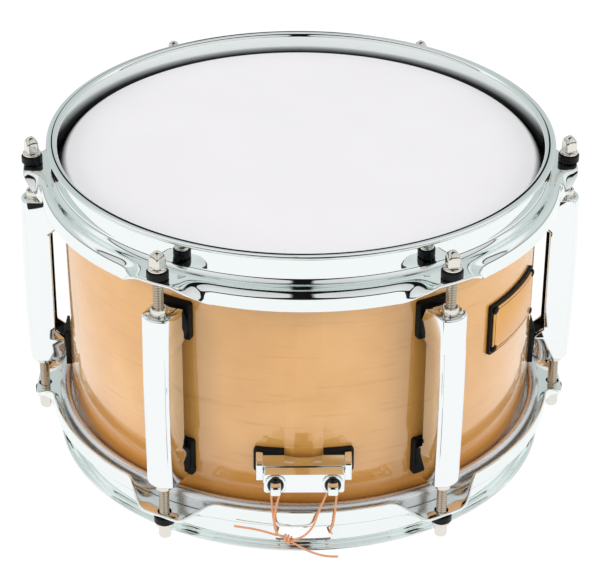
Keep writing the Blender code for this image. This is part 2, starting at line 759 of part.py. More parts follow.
def plate_screw_places(angle):
    """Where screws come through the shell: side by side for the butt, stacked for the strainer."""
    if angle == FRONT:
        rise = above_floor(BUTT_SCREW_HEIGHT)
        return [(angle, side * BUTT_SCREW_SPACING / 2, rise) for side in (-1, 1)]
    ends = (STRAINER_BOTTOM + STRAINER_SCREW_MARGIN, STRAINER_TOP - STRAINER_SCREW_MARGIN)
    return [(angle, 0.0, above_floor(height)) for height in ends]


def drilled_gasket(name, half_width, low, high, angle, look, notches):
    """A gasket bent to the shell, with a hole at each screw of its plate."""
    inner = SHELL_RADIUS + GAP
    outer = inner + PLATE_GASKET
    gasket = finish(name, curved_sheet(inner, outer, half_width, low, high, SHEET_STEPS), look)
    holes = [hole((inner - 2 * PLATE_GASKET, across, rise), (outer + 2 * PLATE_GASKET, across, rise),
                  SCREW_RADIUS + SCREW_AIR) for _, across, rise in plate_screw_places(angle)]
    cut(gasket, gather(holes + notches))
    return place(gasket, angle)


def add_plate_screws(plate, angle):
    """Screws from inside the shell, seated in the back of a plate."""
    tip = PLATE_BACK + STRAINER_PLATE / 2
    add(plate, gather([inner_screw(across, rise, tip)
                       for _, across, rise in plate_screw_places(angle)]))


def clamp_screw(washer_back, tip, across):
    """A drum-key screw along X: washer, flange and square head."""
    seat = washer_back + CLAMP_WASHER
    flange_top = seat + CLAMP_HEAD_FLANGE_HEIGHT
    head_top = flange_top + CLAMP_HEAD_HEIGHT
    square = CLAMP_HEAD_SQUARE / 2
    screw = stack([(tip, CLAMP_SCREW_RADIUS, False),
                   (washer_back, CLAMP_SCREW_RADIUS, False),
                   (washer_back, CLAMP_WASHER_RADIUS, False),
                   (seat, CLAMP_WASHER_RADIUS, False),
                   (seat, CLAMP_HEAD_FLANGE, False),
                   (flange_top, CLAMP_HEAD_FLANGE, False),
                   (flange_top, square, True),
                   (head_top - square / 3, square, True),
                   (head_top, square * 2 / 3, True)], ROUND_SIDES)
    return outward(screw, 0, across, above_floor(CLAMP_MIDDLE))


def clamp_bar(name, look):
    """The flat bar that pinches the cord, standing off its face by the cord's slot."""
    middle = above_floor(CLAMP_MIDDLE)
    back = BUTT_FRONT + CORD_SLOT
    return finish(name, block((back, -CLAMP_WIDTH / 2, middle - CLAMP_HEIGHT / 2),
                              (back + CLAMP_THICKNESS, CLAMP_WIDTH / 2, middle + CLAMP_HEIGHT / 2)),
                  look)


def clamp_holes(back, front):
    """Holes for the two clamp screws, from one reach to another."""
    middle = above_floor(CLAMP_MIDDLE)
    return [hole((back, side * CLAMP_SCREW_SPACING / 2, middle),
                 (front, side * CLAMP_SCREW_SPACING / 2, middle),
                 CLAMP_SCREW_RADIUS + SCREW_AIR) for side in (-1, 1)]


def shell_curve_cutter():
    """A drum-wide cylinder that hollows a plate's back to sit on its gasket."""
    return hole((0, 0, -MIDDLE), (0, 0, MIDDLE), PLATE_BACK, 2 * SHELL_STEPS)


def make_butt_plate(metal, rubber):
    """Snare butt at the front: gasket, body with two cheeks, clamp bar and two screws."""
    top = above_floor(BUTT_TOP)
    bottom = above_floor(BUTT_BOTTOM)
    shoulder = SHELL_RADIUS + BUTT_SHOULDER_STANDOFF
    core = PLATE_BACK - SHELL_WALL
    inner_half = BUTT_WIDTH / 2 - CHEEK_WIDTH
    nose_top = above_floor(BUTT_NOSE_TOP)
    side_view = [(core, bottom), (BUTT_FRONT - BUTT_CHIN, bottom),
                 (BUTT_FRONT, bottom + BUTT_CHIN), (BUTT_FRONT, nose_top), (shoulder, nose_top),
                 (shoulder, above_floor(BUTT_SHOULDER)), (PLATE_BACK + GAP, top), (core, top)]
    outline = [(reach, -inner_half, rise) for reach, rise in side_view]
    body = finish("butt_body", prism(outline, (0, 2 * inner_half, 0)), metal)
    cheek_view = [(core, bottom + GAP), (PLATE_BACK + BUTT_CHIN, bottom + GAP),
                  (shoulder + GAP, above_floor(CHEEK_BOTTOM)),
                  (shoulder + GAP, above_floor(CHEEK_SHOULDER)),
                  (PLATE_BACK + GAP, top + GAP), (core, top + GAP)]
    cheeks = []
    for start in (-BUTT_WIDTH / 2, inner_half - GAP):
        outline = [(reach, start, rise) for reach, rise in cheek_view]
        cheeks.append(prism(outline, (0, CHEEK_WIDTH + GAP, 0)))
    add(body, gather(cheeks))
    cut(body, shell_curve_cutter())
    dip_radius = (DIP_WIDTH ** 2 / 4 + DIP_DEPTH ** 2) / (2 * DIP_DEPTH)
    dip_centre = top - DIP_DEPTH + dip_radius
    dip = bore((core, 0, dip_centre), (BUTT_FRONT + BUTT_CHIN, 0, dip_centre), dip_radius,
               SHELL_STEPS // 2)
    cut(body, gather([dip] + clamp_holes(BUTT_FRONT - CLAMP_SCREW_BITE - GAP, BUTT_FRONT + BUTT_CHIN)))
    add_plate_screws(body, FRONT)
    place(body, FRONT)
    border = BUTT_GASKET_BORDER
    notch = block((core, -DIP_WIDTH / 2, top - DIP_DEPTH), (BUTT_FRONT, DIP_WIDTH / 2, top + 2 * border))
    drilled_gasket("butt_gasket", BUTT_WIDTH / 2 + border, above_floor(BUTT_GASKET_BOTTOM),
                   top + border, FRONT, rubber, [notch])
    bar = clamp_bar("butt_clamp_bar", metal)
    clamp_top = above_floor(CLAMP_MIDDLE) + CLAMP_HEIGHT / 2
    add(bar, block((shoulder + GAP, -CLAMP_WIDTH / 2, clamp_top - CLAMP_LIP),
                   (BUTT_FRONT + CORD_SLOT + CLAMP_THICKNESS / 2, CLAMP_WIDTH / 2, clamp_top)))
    cut(bar, gather(clamp_holes(BUTT_FRONT, BUTT_FRONT + CORD_SLOT + 2 * CLAMP_THICKNESS)))
    place(bar, FRONT)
    washer_back = BUTT_FRONT + CORD_SLOT + CLAMP_THICKNESS + GAP
    for side, name in ((-1, "butt_clamp_screw_left"), (1, "butt_clamp_screw_right")):
        screw = clamp_screw(washer_back, BUTT_FRONT - CLAMP_SCREW_BITE, side * CLAMP_SCREW_SPACING / 2)
        place(finish(name, screw, metal), FRONT)


def knob_reach():
    """The knob's screw stands in the middle of the slide's channel."""
    return (CHANNEL_BACK + STRAINER_FRONT) / 2


def make_strainer_base(metal):
    """Body with a channel for the slide, a cap over it and the lever's boss and pin."""
    bottom = above_floor(STRAINER_BOTTOM)
    top = above_floor(STRAINER_TOP)
    core = PLATE_BACK - SHELL_WALL
    half = STRAINER_WIDTH / 2
    base = finish("strainer_base", block((core, -half, bottom), (STRAINER_FRONT, half, top)), metal)
    pivot = above_floor(LEVER_PIVOT)
    add(base, bore((PLATE_BACK + GAP, LEVER_ACROSS, pivot), (STRAINER_FRONT - GAP, LEVER_ACROSS, pivot),
                   LEVER_HUB_RADIUS, 2 * ROUND_SIDES))
    cut(base, shell_curve_cutter())
    channel = block((CHANNEL_BACK, -CHANNEL_WIDTH / 2, bottom - STRAINER_CAP),
                    (STRAINER_FRONT + STRAINER_CAP, CHANNEL_WIDTH / 2, top - STRAINER_CAP))
    knob_hole = hole((knob_reach(), 0, top - STRAINER_CAP - GAP), (knob_reach(), 0, top + STRAINER_CAP),
                     KNOB_SCREW_RADIUS + SCREW_AIR)
    cut(base, channel)
    cut(base, knob_hole)
    lever_front = STRAINER_FRONT + GAP + LEVER_THICKNESS
    pin = stack([(STRAINER_FRONT - LEVER_THICKNESS, LEVER_PIN_RADIUS, False),
                 (lever_front + GAP, LEVER_PIN_RADIUS, False),
                 (lever_front + GAP, LEVER_PIN_HEAD, False),
                 (lever_front + GAP + LEVER_PIN_HEAD_HEIGHT, LEVER_PIN_HEAD * 0.8, False)], ROUND_SIDES)
    add(base, outward(pin, 0, LEVER_ACROSS, pivot))
    add_plate_screws(base, REAR)
    return place(base, REAR)


def make_strainer_slide(metal):
    """Block that runs in the channel, with a saddle in front for the cord."""
    bottom = above_floor(SLIDE_BOTTOM)
    slide_top = bottom + SLIDE_HEIGHT
    half = CHANNEL_WIDTH / 2 - GAP
    slide = finish("strainer_slide", block((CHANNEL_BACK + GAP, -half, bottom),
                                           (SADDLE_BACK + SADDLE_THICKNESS / 2, half, slide_top)), metal)
    saddle_low = above_floor(SADDLE_BOTTOM)
    add(slide, block((SADDLE_BACK, -CLAMP_WIDTH / 2, saddle_low),
                     (SADDLE_FRONT, CLAMP_WIDTH / 2, saddle_low + SADDLE_HEIGHT)))
    hole_floor = slide_top - KNOB_SCREW_BITE - GAP
    cut(slide, hole((knob_reach(), 0, hole_floor), (knob_reach(), 0, slide_top + STRAINER_CAP),
                    KNOB_SCREW_RADIUS + SCREW_AIR))
    cut(slide, gather(clamp_holes(SADDLE_BACK - GAP, SADDLE_FRONT + BUTT_CHIN)))
    return place(slide, REAR)


def make_strainer_clamp(metal):
    """The strainer's clamp bar with its two screws."""
    bar = clamp_bar("strainer_clamp", metal)
    washer_back = BUTT_FRONT + CORD_SLOT + CLAMP_THICKNESS - WELD
    tip = SADDLE_BACK + GAP
    add(bar, gather([clamp_screw(washer_back, tip, side * CLAMP_SCREW_SPACING / 2) for side in (-1, 1)]))
    return place(bar, REAR)


def make_strainer_knob(metal):
    """Knurled tension knob on its screw."""
    slide_top = above_floor(SLIDE_BOTTOM) + SLIDE_HEIGHT
    low = above_floor(STRAINER_TOP) + GAP
    ridge = KNOB_RADIUS
    valley = KNOB_RADIUS - KNOB_KNURL
    knob = stack([(slide_top - KNOB_SCREW_BITE, KNOB_SCREW_RADIUS, False),
                  (low, KNOB_SCREW_RADIUS, False),
                  (low, valley - KNOB_KNURL, False),
                  (low + KNOB_KNURL, ridge, False),
                  (low + KNOB_HEIGHT - KNOB_KNURL, ridge, False),
                  (low + KNOB_HEIGHT, valley - KNOB_KNURL, False)], 2 * ROUND_SIDES)
    for index, vert in enumerate(knob.verts):
        if math.hypot(vert.co.x, vert.co.y) > valley and index % 2:
            vert.co.x *= valley / ridge
            vert.co.y *= valley / ridge
    return place(finish("strainer_knob", knob, metal), REAR, origin=(knob_reach(), 0, 0))


def make_strainer_lever(metal):
    """Throw-off lever: a round hub and a tapered arm that stands up at rest."""
    back = STRAINER_FRONT + GAP
    front = back + LEVER_THICKNESS
    hub = bore((back, 0, 0), (front, 0, 0), LEVER_HUB_RADIUS, 2 * ROUND_SIDES)
    lever = finish("strainer_lever", hub, metal)
    root = LEVER_WIDTH / 2
    waist = root * 0.8
    tip = LEVER_TIP_WIDTH / 2
    bend = LEVER_LENGTH - LEVER_TIP_WIDTH
    right = [(root, 0), (waist, bend), (tip, bend + tip), (tip * 0.6, LEVER_LENGTH)]
    left = [(-across, rise) for across, rise in right[::-1]]
    outline = [(back + GAP, across, rise) for across, rise in right + left]
    add(lever, prism(outline, (LEVER_THICKNESS - 2 * GAP, 0, 0)))
    cut(lever, hole((back - LEVER_THICKNESS, 0, 0), (front + LEVER_THICKNESS, 0, 0),
                    LEVER_PIN_RADIUS + SCREW_AIR))
    return place(lever, REAR, origin=(0, LEVER_ACROSS, above_floor(LEVER_PIVOT)))


def make_strainer(metal, rubber):
    """Throw-off at the rear, out of sight from the front."""
    make_strainer_base(metal)
    make_strainer_slide(metal)
    make_strainer_clamp(metal)
    make_strainer_knob(metal)
    make_strainer_lever(metal)
    border = BUTT_GASKET_BORDER
    drilled_gasket("strainer_gasket", STRAINER_WIDTH / 2 + border,
                   above_floor(STRAINER_BOTTOM) - border, above_floor(STRAINER_TOP),
                   REAR, rubber, [])


def make_snares(look):
    """Strands under the lower head, soldered onto an end plate at each side."""
    hinge = Vector((0, -END_HOLE_REACH, END_PLATE_TOP - END_PLATE / 2))
    strands = []
    for index in range(STRAND_COUNT):
        across = (index - (STRAND_COUNT - 1) / 2) * STRAND_PITCH
        strands.append(bore((across, -STRAND_HALF_LENGTH, STRAND_HEIGHT),
                            (across, STRAND_HALF_LENGTH, STRAND_HEIGHT), STRAND_RADIUS,
                            STRAND_SIDES))
    snares = finish("snare_strands", gather(strands), look)
    plates, holes = [], []
    for side in (-1, 1):
        near, far = sorted((side * END_PLATE_INNER, side * END_PLATE_OUTER))
        plates.append(block((-END_PLATE_WIDTH / 2, near, END_PLATE_TOP - END_PLATE),
                            (END_PLATE_WIDTH / 2, far, END_PLATE_TOP)))
        for across in (-END_HOLE_SPACING / 2, END_HOLE_SPACING / 2):
            reach = side * END_HOLE_REACH
            holes.append(bore((across, reach, END_PLATE_TOP - 2 * END_PLATE),
                              (across, reach, END_PLATE_TOP + END_PLATE), END_HOLE_RADIUS))
    add(snares, gather(plates))
    cut(snares, gather(holes))
    snares.data.transform(Matrix.Translation(-hinge))
    snares.location = hinge


def smooth_route(points, between):
    """Points on a smooth curve through a route's own points."""
    route = [Vector(point) for point in points]
    smooth = []
    for index in range(len(route) - 1):
        before = route[max(index - 1, 0)]
        start, end = route[index], route[index + 1]
        after = route[min(index + 2, len(route) - 1)]
        for step in range(between):
            share = step / between
            pull_in = (end - before) * (share - 2 * share ** 2 + share ** 3) / 2
            pull_out = (after - start) * (share ** 3 - share ** 2) / 2
            ease = 3 * share ** 2 - 2 * share ** 3
            smooth.append(start + (end - start) * ease + pull_in + pull_out)
    smooth.append(route[-1])
    return smooth


def make_cord(name, points, look, between=1):
    """A round cord along a route, as a bevelled curve with closed ends."""
    route = smooth_route(points, between)
    curve = bpy.data.curves.new(name, "CURVE")
    curve.dimensions = "3D"
    spline = curve.splines.new("POLY")
    spline.points.add(len(route) - 1)
    for knot, point in zip(spline.points, route):
        knot.co = (*point, 1)
    curve.bevel_depth = CORD_RADIUS
    curve.bevel_resolution = CORD_STEPS
    curve.use_fill_caps = True
    curve.materials.append(look)
    cord = bpy.data.objects.new(name, curve)
    bpy.context.collection.objects.link(cord)
    return cord


def taut_run():
    """One taut run as (across, reach, height): clamp, flange, shelf corner, gate, end plate."""
    slot = BUTT_FRONT + CORD_SLOT / 2
    off = CORD_RADIUS + 2 * GAP
    beside = CLAMP_SCREW_SPACING / 2 + cord_bend()
    gate_across = GATE_WIDTH / 2 - CORD_RADIUS - 2 * GAP
    flange = abreast(HOOP_INNER + FLANGE_REACH, gate_across) + off
    shoulder = abreast(HOOP_INNER + SHOULDER_REACH, gate_across) + off
    corner = abreast(HOOP_INNER + SHELF_REACH, gate_across) + off
    collar = HOOP_INNER + HOOP_SHEET / 2
    under = END_PLATE_TOP - END_PLATE - GAP - CORD_RADIUS
    over = END_PLATE_TOP + GAP + CORD_RADIUS
    eye = END_HOLE_SPACING / 2
    return [(beside, slot, CLAMP_MIDDLE),
            (beside, slot, CLAMP_MIDDLE - CLAMP_HEIGHT / 2),
            ((beside + gate_across) / 2, flange, FLANGE_DROP),
            (gate_across + GAP, shoulder, SHOULDER_DROP),
            (gate_across, corner + GAP, SHELF_DROP),
            (gate_across, (corner + collar) / 2, GATE_HIGH - CORD_RADIUS),
            (gate_across - GAP, collar, (GATE_LOW + GATE_HIGH) / 2),
            (eye, END_PLATE_OUTER + 2 * END_PLATE, under + GAP),
            (eye, END_HOLE_REACH + END_PLATE, under),
            (eye, END_HOLE_REACH - END_PLATE, over),
            (eye - 4 * CORD_RADIUS, END_HOLE_REACH - END_PLATE, over)]


def cord_bend():
    """Radius of the cord's bend round a clamp screw."""
    return CLAMP_SCREW_RADIUS + CORD_RADIUS + GAP


def slack_start():
    """Where the cord leaves the butt's clamp on its slack side."""
    across = CLAMP_SCREW_SPACING / 2 - cord_bend()
    return across, BUTT_FRONT + CORD_SLOT / 2, CLAMP_MIDDLE - CLAMP_HEIGHT / 2 + CORD_RADIUS


def clamp_loop():
    """Half a turn of cord over a clamp screw, from the slack side to the taut side."""
    points = [slack_start()]
    steps = 3
    for step in range(steps):
        angle = TURN / 2 * (1 - step / steps)
        points.append((CLAMP_SCREW_SPACING / 2 + cord_bend() * math.cos(angle), slack_start()[1],
                       CLAMP_MIDDLE + cord_bend() * math.sin(angle)))
    return points


def make_held_cords(look):
    """The cord between clamp and end plate, as one piece front and one rear."""
    for name, side, run in (("butt_cord", -1, clamp_loop() + taut_run()),
                            ("strainer_cord", 1, taut_run())):
        left = [(-across, side * reach, height) for across, reach, height in run]
        right = [(across, side * reach, height) for across, reach, height in run[::-1]]
        make_cord(name, left + right, look)


def beside_knot(across, reach, height):
    """The face of the knot that looks in a direction, off by the usual gap."""
    return KNOT_AT + Vector((across, reach, height)).normalized() * (KNOT_RADIUS + GAP)


def make_free_cords(look):
    """The cord's two slack ends, the knot that ties them and its two tails."""
    across, reach, height = slack_start()
    left = [(-across, -reach, height - GAP), (-12.4 * MM, -138.6 * MM, 39.5 * MM),
            (-13.6 * MM, -139.4 * MM, 34.5 * MM), (-14.6 * MM, -139.9 * MM, 28.5 * MM),
            (-14.9 * MM, -140.0 * MM, 22.5 * MM), (-13.6 * MM, -140.2 * MM, 17.6 * MM),
            beside_knot(-0.6, -0.6, 0.5)]
    right = [(across, -reach, height - GAP), (10.9 * MM, -138.6 * MM, 39.5 * MM),
             (8.8 * MM, -139.2 * MM, 34.0 * MM), (6.7 * MM, -139.4 * MM, 27.7 * MM),
             (4.5 * MM, -139.2 * MM, 20.6 * MM), (0.4 * MM, -138.8 * MM, 14.9 * MM),
             beside_knot(0.9, -0.2, 0.3)]
    left_tail = [beside_knot(-0.9, 0.4, 0.2), (-14.5 * MM, -137.9 * MM, 14.3 * MM),
                 (-19.5 * MM, -137.3 * MM, 16.3 * MM), (-26.0 * MM, -136.4 * MM, 17.5 * MM),
                 (-35.2 * MM, -134.9 * MM, 18.2 * MM)]
    right_tail = [beside_knot(0.7, 0.2, -0.7), (-2.4 * MM, -138.2 * MM, 7.9 * MM),
                  (2.6 * MM, -138.3 * MM, 4.8 * MM), (8.6 * MM, -138.3 * MM, 2.3 * MM),
                  (13.6 * MM, -138.0 * MM, 1.1 * MM), (17.6 * MM, -137.6 * MM, 0.7 * MM)]
    for name, route in (("free_cord_left", left), ("free_cord_right", right),
                        ("cord_tail_left", left_tail), ("cord_tail_right", right_tail)):
        make_cord(name, route, look, 2)
    mesh = bmesh.new()
    bmesh.ops.create_icosphere(mesh, subdivisions=2, radius=KNOT_RADIUS)
    knot = finish("cord_knot", mesh, look)
    knot.location = KNOT_AT


def clear_scene():
    for item in list(bpy.data.objects):
        bpy.data.objects.remove(item)


def main():
    clear_scene()
    maple = material("maple", (0.76, 0.46, 0.20), 0.0, 0.35)
    coated_film = material("coated_film", (0.86, 0.84, 0.84), 0.0, 0.6)
    clear_film = material("clear_film", (0.80, 0.82, 0.84), 0.0, 0.2)
    aluminium = material("aluminium", (0.72, 0.72, 0.74), 1.0, 0.35)
    chrome = material("chrome", (0.85, 0.86, 0.88), 1.0, 0.06)
    nickel = material("nickel", (0.66, 0.62, 0.56), 1.0, 0.2)
    nylon = material("nylon", (0.012, 0.012, 0.013), 0.0, 0.45)
    rubber = material("rubber", (0.02, 0.018, 0.018), 0.0, 0.6)
    steel = material("zinc_steel", (0.6, 0.6, 0.6), 1.0, 0.3)
    gold = material("gilt_plate", (0.76, 0.38, 0.08), 1.0, 0.25)
    cotton = material("snare_cord", (0.87, 0.36, 0.18), 0.0, 0.8)
    make_shell(maple)
    make_vent_grommet(chrome)
    make_head("batter_head", coated_film, False)
    make_head("snare_head", clear_film, True)
    make_flesh_hoop("batter_flesh_hoop", aluminium, False)
    make_flesh_hoop("snare_flesh_hoop", aluminium, True)
    make_hoop("batter_hoop", chrome, False)
    make_hoop("snare_hoop", chrome, True)
    make_lugs(chrome)
    make_rods(nickel)
    make_nylon_washers(nylon)
    make_badge(gold, rubber)
    make_butt_plate(chrome, rubber)
    make_strainer(chrome, rubber)
    make_snares(steel)
    make_held_cords(cotton)
    make_free_cords(cotton)


main()
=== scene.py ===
# %% [markdown]
# # Dressing a piccolo snare drum
#
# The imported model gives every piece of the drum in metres, standing on Z = 0 with its axis on Z.
# The butt plate faces -Y, the strainer +Y, and lug 1 stands at +X.
# Each step below tells what one piece or finish is on the real drum, and then makes it over that
# frame. A finished object keeps its origin at the middle of the floor, so its place is in its mesh.

# %% The frame
import math

import bmesh
import bpy
from mathutils import Matrix, Vector
from mathutils.kdtree import KDTree


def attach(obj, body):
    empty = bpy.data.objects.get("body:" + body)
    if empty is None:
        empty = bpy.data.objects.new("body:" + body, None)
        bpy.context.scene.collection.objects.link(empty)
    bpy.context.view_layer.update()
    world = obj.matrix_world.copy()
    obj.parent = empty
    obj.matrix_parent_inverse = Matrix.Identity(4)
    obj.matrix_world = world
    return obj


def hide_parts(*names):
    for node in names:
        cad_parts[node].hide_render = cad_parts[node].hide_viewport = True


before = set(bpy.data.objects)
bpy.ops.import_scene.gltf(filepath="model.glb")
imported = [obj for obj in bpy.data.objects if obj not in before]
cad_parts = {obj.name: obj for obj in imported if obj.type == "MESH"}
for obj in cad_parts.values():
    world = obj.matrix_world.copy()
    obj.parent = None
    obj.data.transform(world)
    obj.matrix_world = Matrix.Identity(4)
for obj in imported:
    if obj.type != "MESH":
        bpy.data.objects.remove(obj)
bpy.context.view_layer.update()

# %% [markdown]
# ## Units and directions
# A drum maker thinks in millimetres, and Blender's mesh tools in metres. Sizes are written in
# millimetres here and `MM` turns them into metres where a mesh is made. Everything round is told
# by a radius and an angle, so two small matrices place a piece: `turned` swings it round the drum,
# and `at` moves it out, across and up. Batter and snare sides mirror each other, so one matrix,
# `FLIP`, makes the lower half from the upper.

# %% Units, angles and places
MM = 0.001
TURN = math.tau
HEIGHT = 172.7
MIDDLE = HEIGHT / 2
GAP = 0.3
FRONT = math.radians(270)
REAR = math.radians(90)
LUG_ANGLES = [TURN * index / 6 for index in range(6)]
FLIP = Matrix.Translation((0, 0, HEIGHT * MM)) @ Matrix.Scale(-1, 4, (0, 0, 1))
OUTWARD = Matrix.Rotation(TURN / 4, 4, "Y")


def turned(angle):
    """A swing round the drum's axis."""
    return Matrix.Rotation(angle, 4, "Z")


def at(reach, across, rise):
    """A place in millimetres: out from the axis, sideways and up."""
    return Matrix.Translation((reach * MM, across * MM, rise * MM))


print("drum height in metres:", round(HEIGHT * MM, 4), "lugs:", len(LUG_ANGLES))

# %% [markdown]
# ## Camera
# A camera could be placed by eye. Here its distance, height, turn and focal length were worked out
# from the places of hoops, lugs and rods in the picture, because five known points on a round
# object leave only one view that fits. It stands 1.2 m off and looks down by 30 degrees.

# %% The camera
CAMERA_DISTANCE = 1215.4
CAMERA_ELEVATION = math.radians(30.18)
CAMERA_TARGET_HEIGHT = 80.0
CAMERA_TURN = math.radians(-1.11)
CAMERA_ROLL = math.radians(0.39)
FOCAL_PIXELS = 2235.4
IMAGE_WIDTH = 600
SENSOR_WIDTH = 36.0
SHIFT_PIXELS = -7.73

lens = bpy.data.cameras.new("camera")
lens.sensor_width = SENSOR_WIDTH
lens.lens = FOCAL_PIXELS / IMAGE_WIDTH * SENSOR_WIDTH
lens.shift_y = SHIFT_PIXELS / IMAGE_WIDTH
lens.clip_start = 0.05
lens.clip_end = 20.0
camera = bpy.data.objects.new("camera", lens)
bpy.context.scene.collection.objects.link(camera)
stand_off = CAMERA_DISTANCE * math.cos(CAMERA_ELEVATION)
stand_rise = CAMERA_TARGET_HEIGHT + CAMERA_DISTANCE * math.sin(CAMERA_ELEVATION)
tripod = turned(CAMERA_TURN) @ Matrix.Translation((0, -stand_off * MM, stand_rise * MM))
tilt = Matrix.Rotation(TURN / 4 - CAMERA_ELEVATION, 4, "X")
camera.matrix_world = tripod @ tilt @ Matrix.Rotation(CAMERA_ROLL, 4, "Z")
bpy.context.scene.camera = camera
print("focal length:", round(lens.lens, 1), "mm")

# %% [markdown]
# ## Building materials from nodes
# A material is a graph of nodes. Clicking it together is fine for one; in a script, one function
# that adds a node with its settings and links keeps every recipe short. Colours are written as
# the hex values that a paint chart gives, and `srgb` turns them into the linear light that
# Blender counts in. Patterns are told by the size of their features in millimetres, and `every`
# turns such a size into the scale of a noise.

# %% Node helpers
MIX_FIRST, MIX_SECOND, MIX_COLOUR = 6, 7, 2


def srgb(code):
    """A hex colour as linear light."""
    values = [int(code[start:start + 2], 16) / 255 for start in (1, 3, 5)]
    return [v / 12.92 if v <= 0.04045 else ((v + 0.055) / 1.055) ** 2.4 for v in values] + [1.0]


def every(size):
    """The scale of a noise whose features are this many millimetres long."""
    return 1 / (size * MM)


def feed(tree, node, inputs):
    """Link each input that comes from another node, and set the others."""
    for socket, value in inputs.items():
        if isinstance(value, bpy.types.NodeSocket):
            tree.links.new(value, node.inputs[socket])
        else:
            node.inputs[socket].default_value = value


def add(tree, kind, inputs, output=0, stops=(), **settings):
    """Add a node with its settings and links, and give one of its outputs."""
    node = tree.nodes.new(kind)
    for name, value in settings.items():
        setattr(node, name, value)
    feed(tree, node, inputs)
    for _ in stops[2:]:
        node.color_ramp.elements.new(0.5)
    for element, (position, colour) in zip(node.color_ramp.elements if stops else (), stops):
        element.position = position
        element.color = colour
    return node.outputs[output] if node.outputs else node


def new_material(name):
    """A material, its tree, its Principled shader and the object's own coordinates."""
    made = bpy.data.materials.new(name)
    made.use_nodes = True
    place = add(made.node_tree, "ShaderNodeTexCoord", {}, "Object")
    return made, made.node_tree, made.node_tree.nodes["Principled BSDF"], place


print("a 5 mm feature is a noise scale of", every(5))

# %% [markdown]
# ## Plated metal
# Hoops and lugs are steel and zinc castings, copper and nickel plated and then chromed, which
# leaves a mirror with a faintly blue-green cast. Rods are nickel plated and a little duller.
# A mirror needs little of its own: full Metallic, very low Roughness, and a trace of uneven
# polish, so that long reflections waver as they do on a buffed sheet.

# %% Chrome, nickel and steel
POLISH_WAVE = 17
BUFFING_PIT = 1.1


def plated_metal(name, colour, roughness):
    """Metal plate with a slowly changing polish."""
    made, tree, shader, place = new_material(name)
    haze = add(tree, "ShaderNodeTexNoise", {"Vector": place, "Scale": every(POLISH_WAVE)}, "Fac")
    gloss = add(tree, "ShaderNodeMapRange", {"Value": haze, "To Min": 0.6 * roughness,
                                             "To Max": 1.5 * roughness}, "Result")
    pits = add(tree, "ShaderNodeTexNoise", {"Vector": place, "Scale": every(BUFFING_PIT)}, "Fac")
    relief = add(tree, "ShaderNodeBump", {"Height": pits, "Distance": 0.002 * MM, "Strength": 0.2},
                 "Normal")
    feed(tree, shader, {"Base Color": srgb(colour), "Metallic": 1.0, "Roughness": gloss,
                        "Normal": relief})
    return made


# Chromed sheet steel: a clean mirror with a cool cast.
chromed_steel = plated_metal("chromed_steel", "#EFF5F4", 0.035)
# Chromed zinc casting: the same plate, a little softer over the cast skin.
chromed_zinc = plated_metal("chromed_zinc_casting", "#F2F6F6", 0.045)
# Nickel plate, bright on the turned heads of the rods.
bright_nickel = plated_metal("bright_nickel_plate", "#E6E2DA", 0.13)
# The rods' threads: the same nickel, darker and browner, as painted shade on the threaded shank.
shaded_thread_nickel = plated_metal("thread_nickel_painted_shade", "#CBC0AE", 0.2)
# Zinc-plated steel of screws, snare strands and their end plates: grey and satin.
zinc_steel = plated_metal("zinc_plated_steel", "#C4C4C4", 0.22)
# Dark plate on the domed flanges of the clamp screws, as shiny as chrome: its dark colour is a painted
# reflection of the dark room.
flange_painted_dark_reflection = plated_metal("flange_painted_dark_reflection", "#35373A", 0.08)
# Die-cast zinc left unplated inside the lugs: dull, and painted nearly black as painted shade of the hollow.
pocket_shade_casting = plated_metal("unplated_zinc_painted_shade", "#2B2A29", 0.5)
print("metals:", [m.name for m in bpy.data.materials if "Dots" not in m.name])

# %% [markdown]
# ## Lacquered maple
# The shell is steam-bent maple plies, sanded and sprayed with clear gloss lacquer. Maple has soft
# cloudy figure and only a few fine darker lines, which run round the drum. Stretched noise gives
# the lines: the pattern is squeezed in height and drawn out along the plies. The lacquer is the
# shader's coat, a second glossy layer, so the wood below can stay rough.

# %% Maple
LINE_LENGTH = 35
LINE_WIDTH = 2.0
FIGURE = 42
PORE_LENGTH = 5.5
PORE_WIDTH = 0.22

lacquered_maple, tree, shader, place = new_material("lacquered_maple")
along = add(tree, "ShaderNodeMapping", {"Vector": place, "Scale": (
    every(LINE_LENGTH), every(LINE_LENGTH), every(LINE_WIDTH))}, "Vector")
lines = add(tree, "ShaderNodeTexNoise", {"Vector": along, "Scale": 1.0, "Detail": 5.0,
                                         "Roughness": 0.6}, "Fac")
fine = add(tree, "ShaderNodeMapping", {"Vector": place, "Scale": (
    every(PORE_LENGTH), every(PORE_LENGTH), every(PORE_WIDTH))}, "Vector")
pores = add(tree, "ShaderNodeTexNoise", {"Vector": fine, "Scale": 1.0, "Detail": 3.0}, "Fac")
clouds = add(tree, "ShaderNodeTexNoise", {"Vector": place, "Scale": every(FIGURE), "Detail": 2.0},
             "Fac")
pale = add(tree, "ShaderNodeValToRGB", {"Fac": clouds}, "Color", stops=[
    (0.32, srgb("#E6A650")), (0.50, srgb("#EFB05A")), (0.68, srgb("#F7BA69"))])
line_share = add(tree, "ShaderNodeMapRange", {"Value": lines, "From Min": 0.56, "From Max": 0.78,
                                              "To Max": 0.55}, "Result")
lined = add(tree, "ShaderNodeMix", {"Factor": line_share, MIX_FIRST: pale,
                                    MIX_SECOND: srgb("#C78A3A")}, MIX_COLOUR, data_type="RGBA")
pore_share = add(tree, "ShaderNodeMapRange", {"Value": pores, "From Min": 0.45, "To Max": 0.35},
                 "Result")
wood = add(tree, "ShaderNodeMix", {"Factor": pore_share, MIX_FIRST: lined,
                                   MIX_SECOND: srgb("#CF9240")}, MIX_COLOUR, data_type="RGBA")
# Painted shade and reflection: towards the bottom of the shell the wood turns a deeper honey, standing in for
# the shade and the skirt's reflection in the lacquer there.
height = add(tree, "ShaderNodeSeparateXYZ", {"Vector": place}, "Z")
